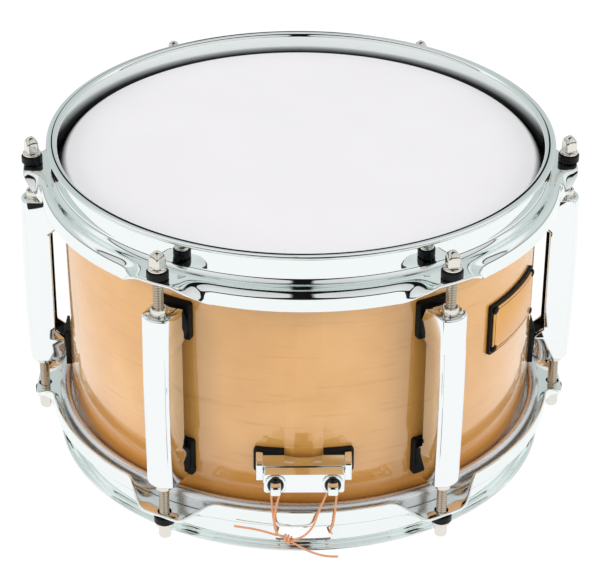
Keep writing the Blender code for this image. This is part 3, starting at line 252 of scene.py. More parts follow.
low_shade_share = add(tree, "ShaderNodeMapRange", {"Value": height, "From Min": 62 * MM,
                                               "From Max": 14 * MM, "To Max": 0.75}, "Result")
wood_with_low_shade = add(tree, "ShaderNodeMix", {"Factor": low_shade_share, MIX_FIRST: wood,
                                      MIX_SECOND: srgb("#E8983E")}, MIX_COLOUR, data_type="RGBA")
grain = add(tree, "ShaderNodeBump", {"Height": pores, "Distance": 0.02 * MM, "Strength": 0.2},
            "Normal")
feed(tree, shader, {"Base Color": wood_with_low_shade, "Roughness": 0.35, "Normal": grain,
                    "Coat Weight": 1.0, "Coat Roughness": 0.03, "Coat IOR": 1.9})
print("maple lines are", LINE_WIDTH, "mm wide and", LINE_LENGTH, "mm long")

# %% [markdown]
# ## Drum heads and their channels
# The batter head is polyester film sprayed with a white coat that ends just inside the hoop. The
# ring beyond it is painted dark grey, which is painted shade of the groove between head and hoop.
# That ring needs no second piece: the distance from the axis, taken from the object's coordinates,
# decides which of two colours shows. The snare side is thin clear film, and both sit in a crimped
# aluminium channel.

# %% Films and aluminium
COAT_EDGE = 122.4
COAT_FADE = 3.0
COAT_GRIT = 0.4

coated_film, tree, shader, place = new_material("coated_polyester_film")
flat = add(tree, "ShaderNodeVectorMath", {0: place, 1: (1, 1, 0)}, "Vector", operation="MULTIPLY")
reach = add(tree, "ShaderNodeVectorMath", {0: flat}, "Value", operation="LENGTH")
# Painted shade: beyond the coat's edge the film turns dark grey, standing in for the shade in the groove
# between head and hoop.
shaded_ring_share = add(tree, "ShaderNodeMapRange", {"Value": reach, "From Min": COAT_EDGE * MM,
                                        "From Max": (COAT_EDGE + COAT_FADE) * MM}, "Result")
swirl = add(tree, "ShaderNodeTexNoise", {"Vector": place, "Scale": every(45), "Detail": 2.0}, "Fac")
coat = add(tree, "ShaderNodeMix", {"Factor": swirl, MIX_FIRST: srgb("#F7F5F7"),
                                   MIX_SECOND: srgb("#F1EFF1")}, MIX_COLOUR, data_type="RGBA")
tone = add(tree, "ShaderNodeMix", {"Factor": shaded_ring_share, MIX_FIRST: coat, MIX_SECOND: srgb("#2E2D2C")},
           MIX_COLOUR, data_type="RGBA")
grit = add(tree, "ShaderNodeTexNoise", {"Vector": place, "Scale": every(COAT_GRIT), "Detail": 3.0},
           "Fac")
tooth = add(tree, "ShaderNodeBump", {"Height": grit, "Distance": 0.03 * MM, "Strength": 0.35},
            "Normal")
feed(tree, shader, {"Base Color": tone, "Roughness": 0.55, "Specular IOR Level": 0.3,
                    "Normal": tooth})

# Clear polyester film: mostly see-through, with a soft sheen.
clear_film, tree, shader, place = new_material("clear_polyester_film")
breath = add(tree, "ShaderNodeTexNoise", {"Vector": place, "Scale": every(25)}, "Fac")
sheen = add(tree, "ShaderNodeMapRange", {"Value": breath, "To Min": 0.12, "To Max": 0.22}, "Result")
feed(tree, shader, {"Base Color": srgb("#E4E7EA"), "Roughness": sheen, "Alpha": 0.55})

# Extruded aluminium, satin from the die, with faint lines round the hoop.
satin_aluminium, tree, shader, place = new_material("satin_aluminium")
drawn = add(tree, "ShaderNodeMapping", {"Vector": place, "Scale": (1, 1, 40)}, "Vector")
lines = add(tree, "ShaderNodeTexNoise", {"Vector": drawn, "Scale": every(12)}, "Fac")
satin = add(tree, "ShaderNodeMapRange", {"Value": lines, "To Min": 0.2, "To Max": 0.36}, "Result")
feed(tree, shader, {"Base Color": srgb("#E4E5E7"), "Metallic": 0.85, "Roughness": satin})
print("the white coat ends at a radius of", COAT_EDGE, "mm")

# %% [markdown]
# ## Rubber, nylon, gilt and cord
# The small parts each have their own finish. Moulded rubber and nylon are nearly black, and their
# highlight is turned down, because a strong one would grey them. The badge is brushed brass under
# lacquer. The snare cord is twisted polyester, whose plies show as slanting bands of painted
# highlight and painted shade.

# %% Soft and small finishes


def moulded_black(name, colour, low, high, grain_size):
    """Moulded plastic or rubber with a fine uneven skin."""
    made, tree, shader, place = new_material(name)
    skin = add(tree, "ShaderNodeTexNoise", {"Vector": place, "Scale": every(grain_size)}, "Fac")
    gloss = add(tree, "ShaderNodeMapRange", {"Value": skin, "To Min": low, "To Max": high}, "Result")
    feed(tree, shader, {"Base Color": srgb(colour), "Roughness": gloss, "Specular IOR Level": 0.22})
    return made


# Moulded nylon: black with a tight, faint highlight.
moulded_nylon = moulded_black("moulded_nylon", "#0E0E0F", 0.3, 0.45, 1.1)
# Moulded rubber: black and a little duller.
moulded_rubber = moulded_black("moulded_rubber", "#0B0A0A", 0.4, 0.6, 1.4)

# Brushed gilt brass: warm gold with lines along the plate.
gilt_brass, tree, shader, place = new_material("brushed_gilt_brass")
drawn = add(tree, "ShaderNodeMapping", {"Vector": place, "Scale": (4, 4, 260)}, "Vector")
brushing = add(tree, "ShaderNodeTexNoise", {"Vector": drawn, "Scale": 9.0, "Detail": 4.0}, "Fac")
warmth = add(tree, "ShaderNodeTexNoise", {"Vector": place, "Scale": every(33)}, "Fac")
gold = add(tree, "ShaderNodeMix", {"Factor": warmth, MIX_FIRST: srgb("#F0B457"),
                                   MIX_SECOND: srgb("#DD9A42")}, MIX_COLOUR, data_type="RGBA")
satin = add(tree, "ShaderNodeMapRange", {"Value": brushing, "To Min": 0.22, "To Max": 0.4}, "Result")
feed(tree, shader, {"Base Color": gold, "Metallic": 0.5, "Roughness": satin, "Coat Weight": 0.4,
                    "Coat Roughness": 0.1})

# Twisted polyester cord: matt salmon, with slanting bands of painted highlight on the plies and painted shade
# between them.
PLY = 1.9
twisted_cord, tree, shader, place = new_material("twisted_polyester_cord")
plies = add(tree, "ShaderNodeTexWave", {"Vector": place, "Scale": every(PLY), "Distortion": 1.2},
            "Fac", wave_type="BANDS", bands_direction="DIAGONAL")
ply_highlight_share = add(tree, "ShaderNodeMapRange", {"Value": plies, "To Max": 0.8}, "Result")
cord_lit_and_shaded = add(tree, "ShaderNodeMix", {"Factor": ply_highlight_share, MIX_FIRST: srgb("#F09C68"),
                                     MIX_SECOND: srgb("#FFC9A0")}, MIX_COLOUR, data_type="RGBA")
twist = add(tree, "ShaderNodeBump", {"Height": plies, "Distance": 0.12 * MM, "Strength": 0.6},
            "Normal")
feed(tree, shader, {"Base Color": cord_lit_and_shaded, "Roughness": 0.82, "Normal": twist, "Sheen Weight": 0.3,
                    "Sheen Roughness": 0.4})
print("materials:", len(bpy.data.materials))

# %% [markdown]
# ## From a bmesh to a finished piece
# A bmesh is a mesh that only the script holds. `piece` turns one into an object, shades it smooth
# with sharp corners kept, and tells the frame which body it rides on and which solids it stands
# for. `carve` cuts holes with a Boolean modifier and applies it at once. `soften` leaves a Bevel
# modifier on a piece, which is the quickest way to give pressed and cast edges their small radius.

# %% Finishing helpers


def dress(made, body="drum", stands_for=()):
    """Say what a piece rides on and which solids it stands for."""
    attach(made, body)
    if stands_for:
        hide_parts(*stands_for)
    return made


def piece(name, mesh, materials, body="drum", stands_for=(), crease=35):
    """Turn a bmesh into a finished object."""
    bmesh.ops.recalc_face_normals(mesh, faces=mesh.faces)
    data = bpy.data.meshes.new(name)
    mesh.to_mesh(data)
    mesh.free()
    for material in materials if isinstance(materials, list) else [materials]:
        data.materials.append(material)
    data.shade_smooth()
    data.set_sharp_from_angle(angle=math.radians(crease))
    made = bpy.data.objects.new(name, data)
    bpy.context.scene.collection.objects.link(made)
    return dress(made, body, stands_for)


def gather(meshes):
    """Several bmeshes as one."""
    whole = bmesh.new()
    for mesh in meshes:
        loose = bpy.data.meshes.new("loose")
        mesh.to_mesh(loose)
        mesh.free()
        whole.from_mesh(loose)
        bpy.data.meshes.remove(loose)
    return whole


def carve(made, tools, crease=35, inside=None):
    """Cut shapes out of a piece; the cut walls may have a material of their own."""
    for tool in tools:
        bmesh.ops.recalc_face_normals(tool, faces=tool.faces)
    data = bpy.data.meshes.new("tool")
    whole = gather(tools)
    whole.to_mesh(data)
    whole.free()
    data.materials.append(inside or made.data.materials[0])
    cutter = bpy.data.objects.new("tool", data)
    bpy.context.scene.collection.objects.link(cutter)
    cut = made.modifiers.new("cut", "BOOLEAN")
    cut.operation = "DIFFERENCE"
    cut.solver = "EXACT"
    cut.material_mode = "TRANSFER"
    cut.object = cutter
    name = made.data.name
    graph = bpy.context.evaluated_depsgraph_get()
    made.data = bpy.data.meshes.new_from_object(made.evaluated_get(graph))
    made.data.name = name
    made.modifiers.clear()
    bpy.data.objects.remove(cutter)
    made.data.shade_smooth()
    made.data.set_sharp_from_angle(angle=math.radians(crease))
    return made


def soften(made, width, segments=3, angle=40):
    """Round a piece's edges by this many millimetres."""
    rounding = made.modifiers.new("soften", "BEVEL")
    rounding.width = width * MM
    rounding.segments = segments
    rounding.limit_method = "ANGLE"
    rounding.angle_limit = math.radians(angle)
    rounding.harden_normals = True
    return made


print("finishing helpers are ready")

# %% [markdown]
# ## Shapes that repeat
# Most of a drum is turned, pressed or extruded, so a few shapers do nearly all of it. `lathe`
# spins a profile round the axis. `stack` bridges rings of changing size, which suits a rod whose
# head goes from round to square. `block` and `slab` start from a cube and from an outline, and
# `bent_sheet` wraps a rounded plate round the shell by turning its sideways place into an angle.

# %% Shapers


def moved(mesh, matrix):
    """Place a bmesh by a matrix."""
    bmesh.ops.transform(mesh, matrix=matrix, verts=mesh.verts)
    if matrix.determinant() < 0:
        bmesh.ops.reverse_faces(mesh, faces=mesh.faces)
    return mesh


def lathe(profile, steps, closed=True):
    """Spin a profile of (radius, height) once round Z."""
    mesh = bmesh.new()
    points = [mesh.verts.new((radius * MM, 0, height * MM)) for radius, height in profile]
    following = points[1:] + points[:1] if closed else points[1:]
    edges = [mesh.edges.new(pair) for pair in zip(points, following)]
    bmesh.ops.spin(mesh, geom=points + edges, cent=(0, 0, 0), axis=(0, 0, 1), dvec=(0, 0, 0),
                   angle=TURN, steps=steps, use_merge=True)
    bmesh.ops.remove_doubles(mesh, verts=mesh.verts, dist=0.0005 * MM)
    return mesh


def stack(levels, sides=32):
    """Bridge rings of (height, half size, power): power 2 is round and 9 nearly square."""
    mesh = bmesh.new()
    loops = []
    for height, half, power in levels:
        ring = bmesh.ops.create_circle(mesh, segments=sides, radius=1.0)["verts"]
        for vert in ring:
            x, y = vert.co.x, vert.co.y
            pull = half / (abs(x) ** power + abs(y) ** power) ** (1 / power)
            vert.co = Vector((x * pull, y * pull, height)) * MM
        mesh.edges.ensure_lookup_table()
        loops.append(mesh.edges[-sides:])
    first, last = loops[0][:], loops[-1][:]
    for lower, upper in zip(loops, loops[1:]):
        bmesh.ops.bridge_loops(mesh, edges=lower + upper)
    bmesh.ops.contextual_create(mesh, geom=first)
    bmesh.ops.contextual_create(mesh, geom=last)
    return mesh


def block(low, high, edge=0.0, segments=2):
    """A box between two corners, with its edges rounded."""
    mesh = bmesh.new()
    bmesh.ops.create_cube(mesh, size=MM)
    size = [h - l for l, h in zip(low, high)]
    middle = [(h + l) / 2 for l, h in zip(low, high)]
    moved(mesh, at(*middle) @ Matrix.Diagonal((*size, 1)))
    if edge:
        bmesh.ops.bevel(mesh, geom=list(mesh.edges), offset=edge * MM, segments=segments,
                        profile=0.5, affect="EDGES", material=-1)
    return mesh


def slab(outline, start, end):
    """An outline of (reach, height) extruded sideways."""
    mesh = bmesh.new()
    corners = [mesh.verts.new((reach * MM, start * MM, height * MM)) for reach, height in outline]
    face = mesh.faces.new(corners)
    grown = bmesh.ops.extrude_face_region(mesh, geom=[face])["geom"]
    far = [item for item in grown if isinstance(item, bmesh.types.BMVert)]
    bmesh.ops.translate(mesh, verts=far, vec=(0, (end - start) * MM, 0))
    return mesh


def slice_at(mesh, point, normal):
    """Cut new edges through the whole mesh along a plane."""
    bmesh.ops.bisect_plane(mesh, geom=mesh.verts[:] + mesh.edges[:] + mesh.faces[:],
                           plane_co=point, plane_no=normal)


def bent_sheet(inner, outer, half_width, low, high, corner, steps=12):
    """A plate with round corners, facing +X, bent round the drum."""
    mesh = block((inner, -half_width, low), (outer, half_width, high))
    corners = [edge for edge in mesh.edges if abs(edge.verts[0].co.x - edge.verts[1].co.x) > MM / 10]
    if corner:
        bmesh.ops.bevel(mesh, geom=corners, offset=corner * MM, segments=5, profile=0.5,
                        affect="EDGES", material=-1)
    face_at = outer * MM - MM / 100
    rim = [edge for edge in mesh.edges if all(vert.co.x > face_at for vert in edge.verts)]
    bmesh.ops.bevel(mesh, geom=rim, offset=0.25 * MM, segments=2, profile=0.5, affect="EDGES",
                    material=-1)
    for step in range(1, steps):
        slice_at(mesh, (0, half_width * (2 * step / steps - 1) * MM, 0), (0, 1, 0))
    for vert in mesh.verts:
        radius, angle = vert.co.x, vert.co.y / (outer * MM)
        vert.co.x, vert.co.y = radius * math.cos(angle), radius * math.sin(angle)
    return mesh


def glide(value, low, high):
    """A smooth step from 0 at low to 1 at high."""
    share = min(max((value - low) / (high - low), 0.0), 1.0)
    return share * share * (3 - 2 * share)


print("shapers are ready")

# %% [markdown]
# ## Cords
# The snare cord is one length of twisted line. It could be a swept mesh, but a curve with a round
# bevel is a cord already, and its points are its route. The points are listed along what the cord
# does, and a smooth curve is read through them, so no bend looks like bent wire.

# %% Cord helpers
CORD_RADIUS = 0.55


def smooth_route(points, between):
    """A smooth curve through every point of a route."""
    route = [Vector(point) * MM for point in points]
    smooth = []
    for index in range(len(route) - 1):
        before = route[max(index - 1, 0)]
        start, end = route[index], route[index + 1]
        after = route[min(index + 2, len(route) - 1)]
        for step in range(between):
            share = step / between
            pull_in = (end - before) * (share - 2 * share ** 2 + share ** 3) / 2
            pull_out = (after - start) * (share ** 3 - share ** 2) / 2
            ease = 3 * share ** 2 - 2 * share ** 3
            smooth.append(start + (end - start) * ease + pull_in + pull_out)
    smooth.append(route[-1])
    return smooth


def cord_curve(name, route):
    """A round cord along a line of points in metres."""
    curve = bpy.data.curves.new(name, "CURVE")
    curve.dimensions = "3D"
    spline = curve.splines.new("POLY")
    spline.points.add(len(route) - 1)
    for knot, point in zip(spline.points, route):
        knot.co = (*point, 1)
    spline.use_smooth = True
    curve.bevel_depth = CORD_RADIUS * MM
    curve.bevel_resolution = 3
    curve.use_fill_caps = True
    curve.materials.append(twisted_cord)
    made = bpy.data.objects.new(name, curve)
    bpy.context.scene.collection.objects.link(made)
    return made


def route_length(route):
    """Length of a route in metres."""
    return sum((second - first).length for first, second in zip(route, route[1:]))


print("cord diameter:", 2 * CORD_RADIUS, "mm")

# %% [markdown]
# ## Free ends of the cord
# Below the butt's clamp the two slack ends hang down, cross in an overhand knot and stick out as
# two tails. Each free end is one curve from the clamp to its tail, so the cord keeps its true
# length, and the knot's own turns are a short helix wound round the crossing.

# %% Slack cords and knot
CLAMP_HEIGHT = 48.6
CLAMP_SCREW_ACROSS = 14.2
CLAMP_BEND = 1.5 + CORD_RADIUS + GAP
SLACK_ACROSS = CLAMP_SCREW_ACROSS - CLAMP_BEND
CORD_REACH = 125.3 + 11.9 + CORD_RADIUS + GAP
SLACK_HEIGHT = CLAMP_HEIGHT - 5.4 + CORD_RADIUS - GAP
KNOT = Vector((-8.0, -138.2, 12.4))
KNOT_TURNS = 2.2
KNOT_STEPS = 44

left_to_right = [(-SLACK_ACROSS, -CORD_REACH, SLACK_HEIGHT), (-12.4, -138.6, 39.5),
                 (-13.6, -139.4, 34.5), (-14.6, -139.9, 28.5), (-14.9, -140.0, 22.5),
                 (-13.4, -140.1, 17.4), (-10.6, -139.4, 14.4), (-8.2, -138.6, 12.9),
                 (-6.6, -138.0, 10.8), (-2.4, -138.2, 7.9), (2.6, -138.3, 4.8),
                 (8.6, -138.3, 2.3), (13.6, -138.0, 1.1), (17.6, -137.6, 0.7)]
right_to_left = [(SLACK_ACROSS, -CORD_REACH, SLACK_HEIGHT), (10.9, -138.6, 39.5),
                 (8.8, -139.2, 34.0), (6.7, -139.4, 27.7), (4.5, -139.2, 20.6),
                 (0.4, -138.8, 14.9), (-4.2, -138.6, 12.4), (-7.4, -137.2, 11.4),
                 (-10.6, -136.9, 13.2), (-14.5, -137.9, 14.9), (-19.5, -137.3, 16.3),
                 (-26.0, -136.4, 17.5), (-35.2, -134.9, 18.2)]

wraps = []
for step in range(KNOT_STEPS + 1):
    share = step / KNOT_STEPS
    angle = TURN * KNOT_TURNS * share
    swell = 1.55 + 0.25 * math.sin(TURN * share / 2)
    wraps.append(Vector((KNOT.x - 1.6 + 3.2 * share + 0.5 * math.cos(angle),
                         KNOT.y + swell * math.cos(angle),
                         KNOT.z + 0.9 - 1.8 * share + swell * math.sin(angle))) * MM)
knot = dress(cord_curve("knot_turns", wraps), "drum", ["cord_knot"])

free_ends = [("slack_cord_left", left_to_right, ["free_cord_left", "cord_tail_right"], [knot]),
             ("slack_cord_right", right_to_left, ["free_cord_right", "cord_tail_left"], [])]
for name, points, solids, on_it in free_ends:
    route = smooth_route(points, 4)
    made = dress(cord_curve(name, route), "drum", solids)
    print(name, "is", round(route_length(route) / MM, 1), "mm long")

# %% [markdown]
# ## The shell
# The shell is a tube of maple whose rims are cut to 45-degree bearing edges for the heads. A tube
# with shaped rims is one turned profile, so it is spun. Two shallow snare beds are filed into the
# lower edge, which is done by lifting those vertices by a smooth amount. Screw holes and the vent
# hole are then drilled with a Boolean, as the maker drills them.

# %% Shell and vent
SHELL_RADIUS = 125.3
SHELL_INNER = 119.3
EDGE_HEIGHT = 162.55
ROUND_STEPS = 288
BED_HALF_ANGLE = math.radians(22)
BED_DEPTH = 1.2
FOOT_RISE = 37.35
SCREW_HOLE = 2.2
VENT_ANGLE = math.radians(150)
VENT_HOLE = 5.9


def bore(angle, across, height, radius, start, end, sides=24):
    """A round bar pointing out through the shell."""
    mesh = stack([(start, radius, 2), (end, radius, 2)], sides)
    return moved(mesh, turned(angle) @ at(0, across, height) @ OUTWARD)


upper_edge = [(SHELL_RADIUS, EDGE_HEIGHT - 3.4), (SHELL_RADIUS - 0.7, EDGE_HEIGHT - 2.1),
              (SHELL_RADIUS - 2.7, EDGE_HEIGHT - 0.2), (SHELL_RADIUS - 3.3, EDGE_HEIGHT),
              (SHELL_INNER, EDGE_HEIGHT - 2.8)]
lower_edge = [(radius, HEIGHT - height) for radius, height in upper_edge[::-1]]
tube = lathe(upper_edge + lower_edge, ROUND_STEPS)
for vert in tube.verts:
    bearing = math.atan2(vert.co.y, vert.co.x)
    off_bed = abs(abs(bearing) - REAR) / BED_HALF_ANGLE
    if vert.co.z < MIDDLE * MM and off_bed < 1:
        vert.co.z += BED_DEPTH * MM * math.cos(off_bed * TURN / 4) ** 2
shell = piece("maple_shell", tube, lacquered_maple, stands_for=["shell"])
plate_screws = [(FRONT, -7.5, 49.5), (FRONT, 7.5, 49.5), (REAR, 0.0, 47.5), (REAR, 0.0, 98.5)]
lug_screws = [(angle, 0.0, MIDDLE + side * FOOT_RISE) for angle in LUG_ANGLES for side in (1, -1)]
drills = [bore(*spot, SCREW_HOLE, 112, 132, 16) for spot in lug_screws + plate_screws]
drills.append(bore(VENT_ANGLE, 0, MIDDLE, VENT_HOLE, 112, 132, 48))
carve(shell, drills)

eyelet = [(4.6, 117.5), (7.0, 117.5), (7.1, 118.3), (5.6, 118.6), (5.6, 125.6), (8.4, 125.6),
          (8.2, 126.2), (6.6, 126.8), (5.2, 126.7), (4.6, 126.1)]
vent = moved(lathe(eyelet, 48), turned(VENT_ANGLE) @ at(0, 0, MIDDLE) @ OUTWARD)
piece("vent_eyelet", vent, chromed_steel, stands_for=["vent_grommet"], crease=60)
print("shell faces:", len(shell.data.polygons), "holes drilled:", len(drills))

# %% [markdown]
# ## Heads in their channels
# A head is thin film drawn over the bearing edge and crimped in a metal channel. The film is a
# long thin profile, out along the top and back along the underside, so that it has a real
# thickness. The channel's rounded bottom is an arc. Both are spun, and flipped for the snare side.

# %% Films and channels
FILM_TOP = 163.25
FILM = 0.4
CHANNEL_TOP = 153.9
CHANNEL_INNER = 126.5
CHANNEL_OUTER = 132.3


def arc(reach, height, radius, start, end, steps):
    """Points on a round bend, with angles in degrees."""
    turns = [math.radians(start + (end - start) * step / steps) for step in range(steps + 1)]
    return [(reach + radius * math.cos(turn), height + radius * math.sin(turn)) for turn in turns]


film_over = [(0, FILM_TOP), (60, FILM_TOP), (110, FILM_TOP), (121.8, FILM_TOP),
             (122.9, FILM_TOP - 0.2), (123.9, FILM_TOP - 0.8), (125.2, FILM_TOP - 2.0),
             (126.0, FILM_TOP - 3.2), (126.3, FILM_TOP - 4.6), (126.3, 156.4), (126.6, 155.2),
             (127.5, 154.3), (128.1, 153.4), (128.2, 149.8)]
film_under = [(127.8, 149.8), (127.7, 153.2), (127.1, 154.0), (126.2, 154.9), (125.9, 156.2),
              (125.9, FILM_TOP - 4.6), (125.6, FILM_TOP - 3.4), (124.9, FILM_TOP - 2.3),
              (123.6, FILM_TOP - 1.1), (122.7, FILM_TOP - 0.2 - FILM), (121.8, FILM_TOP - FILM),
              (110, FILM_TOP - FILM), (60, FILM_TOP - FILM), (0, FILM_TOP - FILM)]
bead = (CHANNEL_OUTER - CHANNEL_INNER) / 2
bead_rise = CHANNEL_TOP - 6.0
lip_right = [(CHANNEL_OUTER, CHANNEL_TOP - 0.2), (CHANNEL_OUTER - 0.2, CHANNEL_TOP),
             (CHANNEL_OUTER - 0.8, CHANNEL_TOP), (CHANNEL_OUTER - 1.0, CHANNEL_TOP - 0.2),
             (CHANNEL_OUTER - 1.0, bead_rise + 3.2), (CHANNEL_OUTER - 1.9, bead_rise + 1.6)]
lip_left = [(CHANNEL_INNER + 1.9, bead_rise + 1.4), (CHANNEL_INNER + 1.0, bead_rise + 1.9),
            (CHANNEL_INNER + 1.0, CHANNEL_TOP - 0.2), (CHANNEL_INNER + 0.8, CHANNEL_TOP),
            (CHANNEL_INNER + 0.2, CHANNEL_TOP), (CHANNEL_INNER, CHANNEL_TOP - 0.2)]
channel_view = arc(CHANNEL_INNER + bead, bead_rise, bead, 180, 360, 12) + lip_right + lip_left

sides = [("batter", Matrix(), coated_film, "coated_film"), ("snare", FLIP, clear_film, "clear_film")]
for prefix, side, film, slot in sides:
    skin = moved(lathe(film_over + film_under, ROUND_STEPS, closed=False), side)
    piece(f"{prefix}_film", skin, film, stands_for=[f"{prefix}_head"], crease=60)
    channel = moved(lathe(channel_view, ROUND_STEPS), side)
    piece(f"{prefix}_channel", channel, satin_aluminium, stands_for=[f"{prefix}_flesh_hoop"])
print("two heads, film", FILM, "mm thick")

# %% [markdown]
# ## Triple-flanged hoops
# A hoop is one strip of steel, rolled into a lip, a collar, a shelf and a skirt, and at each rod
# the skirt is pressed out and up into a flat ear. Its section is a line of arcs and straight
# runs. That line is spun into a sheet without thickness; near each lug the skirt's vertices
# slide out to the ear, flaring first and lifting later, as the press draws the metal. Only then
# does a Solidify modifier give the sheet its 1.6 mm, so the wall is even everywhere.

# %% Hoops
SHEET = 1.6
COLLAR = 128.0
SHELF_DROP = 17.8
FILLET = 4.4
BEND = 3.8
EAR_REACH = 145.6
EAR_FLARE = (math.radians(11.5), math.radians(4.2))
EAR_LIFT = (math.radians(10.8), math.radians(3.4))
ROD_CIRCLE = 141.2
EAR_HOLE = 3.65
HOOP_STEPS = 720
GATE_HALF = 14.5

lip = [(132.7, 1.5), (132.2, 1.22), (131.5, 0.93), (130.9, 0.81), (130.3, 0.81), (129.8, 0.87), (129.3, 0.96)]
lip += arc(129.1, 2.12, 1.1, -107, -180, 6)
collar = [(COLLAR, 5.0), (COLLAR, 8.0), (COLLAR, 11.0)]
fillet = arc(COLLAR + FILLET, SHELF_DROP - FILLET, FILLET, 180, 90, 9)
bend = arc(COLLAR + FILLET + 0.3, SHELF_DROP + BEND, BEND, -90, 0, 9)
skirt = [(136.45, 23.5), (136.4, 25.5), (136.3, 27.9)]
wall = lip + collar + fillet
flange = bend + skirt
plain = wall + flange
along = [0.0]
for start, end in zip([wall[-1]] + flange, flange):
    along.append(along[-1] + math.dist(start, end))
pad = [(wall[-1][0] + (EAR_REACH - wall[-1][0]) * run / along[-1], SHELF_DROP) for run in along[1:]]
eared = wall + pad
finder = KDTree(len(plain))
for index, (reach, drop) in enumerate(plain):
    finder.insert((reach * MM, drop * MM, 0), index)
finder.balance()


def ear_share(angle, span):
    """How far the sheet has turned into an ear at this angle: 0 is plain and 1 is flat."""
    pitch = TURN / 6
    offset = abs((angle + pitch / 2) % pitch - pitch / 2)
    return glide(-offset, -span[0], -span[1])


def pressed_sheet():
    """The spun section with its skirt drawn out into six ears."""
    mesh = lathe([(reach, HEIGHT - drop) for reach, drop in plain], HOOP_STEPS, closed=False)
    for vert in mesh.verts:
        angle = math.atan2(vert.co.y, vert.co.x)
        reach = vert.co.xy.length
        index = finder.find((reach, HEIGHT * MM - vert.co.z, 0))[1]
        out = (eared[index][0] - plain[index][0]) * ear_share(angle, EAR_FLARE)
        down = (eared[index][1] - plain[index][1]) * ear_share(angle, EAR_LIFT)
        vert.co.x += out * MM * math.cos(angle)
        vert.co.y += out * MM * math.sin(angle)
        vert.co.z -= down * MM
    return mesh


def rod_bores(side, radius, low, high):
    """Bores for the six rods on one side of the drum."""
    return [moved(stack([(low, radius, 2), (high, radius, 2)], 32), side @ turned(angle)
                  @ at(ROD_CIRCLE, 0, 0)) for angle in LUG_ANGLES]


gates = [block((-GATE_HALF, side * 127.6 - 3.4, 4.5), (GATE_HALF, side * 127.6 + 3.4, 12.5), 1.4, 3)
         for side in (-1, 1)]
for prefix, side, windows in (("batter", Matrix(), []), ("snare", FLIP, gates)):
    rim = piece(f"{prefix}_rim", moved(pressed_sheet(), side), chromed_steel,
                stands_for=[f"{prefix}_hoop"], crease=50)
    thick = rim.modifiers.new("sheet", "SOLIDIFY")
    thick.thickness = SHEET * MM
    thick.offset = 0
    thick.use_even_offset = True
    soften(rim, 0.5)
    carve(rim, rod_bores(side, EAR_HOLE, 145, 165) + windows, crease=50)
    print(prefix, "rim faces:", len(rim.data.polygons))

# %% [markdown]
# ## Bridge lugs
# A lug is a hollow zinc casting that touches the shell with two feet only, so that the shell can
# ring. Seen from the side it is a long bar with two feet, so that outline is extruded. Cuts
# across it give vertices to bend: the front gets its crown and its bow, and the back stays wider.
# The front rim is bevelled broadly, and the pocket and rod bores are cut last. The pocket's walls
# are left unplated and painted nearly black, as painted shade of the hollow inside the casting.

# %% Lugs
LUG_HALF = 49.35
LUG_FRONT = 149.4
LUG_BOW = 1.1
LUG_CROWN = 3.0
LUG_BACK_HALF = 8.3
LUG_FRONT_HALF = 7.5
FOOT_BACK = 128.35
HEEL_BACK = 131.95
BRIDGE_BACK = 133.3
FRONT_ROUND = 1.3
POCKET_HALF = 33.45

lug_view = [(LUG_FRONT, LUG_HALF), (HEEL_BACK, LUG_HALF), (FOOT_BACK, 40.45), (FOOT_BACK, 34.25),
            (BRIDGE_BACK, 30.05)]
lug_view += [(reach, -rise) for reach, rise in lug_view[::-1]]


def lug_casting():
    """A solid lug along Z in front of the shell, its middle at height 0."""
    mesh = slab(lug_view, -LUG_BACK_HALF, LUG_BACK_HALF)
    for step in range(-4, 5):
        slice_at(mesh, (0, step * LUG_BACK_HALF / 5 * MM, 0), (0, 1, 0))
        slice_at(mesh, (0, 0, step * 9 * MM), (0, 0, 1))
    rim = []
    for edge in mesh.edges:
        ends = [vert.co / MM for vert in edge.verts]
        front = all(end.x > LUG_FRONT - 0.1 for end in ends)
        side = all(abs(end.y) > LUG_BACK_HALF - 0.1 for end in ends)
        tip = all(abs(end.z) > LUG_HALF - 0.1 for end in ends)
        if front and (side or tip):
            rim.append(edge)
    for vert in mesh.verts:
        depth = (vert.co.x / MM - FOOT_BACK) / (LUG_FRONT - FOOT_BACK)
        share = vert.co.y / MM / LUG_BACK_HALF
        rise = vert.co.z / MM / LUG_HALF
        vert.co.y *= 1 - (1 - LUG_FRONT_HALF / LUG_BACK_HALF) * depth
        if depth > 0.9:
            vert.co.x -= (LUG_CROWN * share ** 2 + LUG_BOW * rise ** 2) * MM
    bmesh.ops.bevel(mesh, geom=rim, offset=FRONT_ROUND * MM, segments=5, profile=0.5,
                    affect="EDGES", material=-1)
    return mesh


for index, angle in enumerate(LUG_ANGLES, 1):
    lug = piece(f"bridge_lug_{index}", moved(lug_casting(), turned(angle) @ at(0, 0, MIDDLE)),
                chromed_zinc, stands_for=[f"lug_{index}"], crease=40)
    soften(lug, 0.5)
    bores = [moved(stack([(107, 4.35, 2), (140, 4.35, 2)], 40), side @ turned(angle)
                   @ at(ROD_CIRCLE, 0, 0)) for side in (Matrix(), FLIP)]
    carve(lug, bores, crease=50)
    # The pocket's walls take a nearly black material, painted shade of the hollow inside the lug.
    pocket = block((125.0, -6.0, MIDDLE - POCKET_HALF), (144.6, 6.0, MIDDLE + POCKET_HALF), 1.2, 3)
    carve(lug, [moved(pocket, turned(angle))], crease=50, inside=pocket_shade_casting)
print("faces of one lug:", len(lug.data.polygons))

# %% [markdown]
# ## What holds a lug
# Each lug carries two threaded inserts, sits on two black gaskets and is held by two screws from
# inside the shell. Inserts and screws are turned parts, so they are spun. A gasket is a plate
# with round corners, bent to the shell. These small pieces hide inside the drum from most
# sides, yet they are what is seen through the vent or with a head off.

# %% Inserts, gaskets and shell screws
INSERT_TOP = 139.6
INSERT_LENGTH = 20


def ring(inner, outer, low, high, edge, steps=40):
    """A chamfered tube along Z."""
    return lathe([(inner + edge, low), (outer - edge, low), (outer, low + edge),
                  (outer, high - edge), (outer - edge, high), (inner + edge, high),
                  (inner, high - edge), (inner, low + edge)], steps)


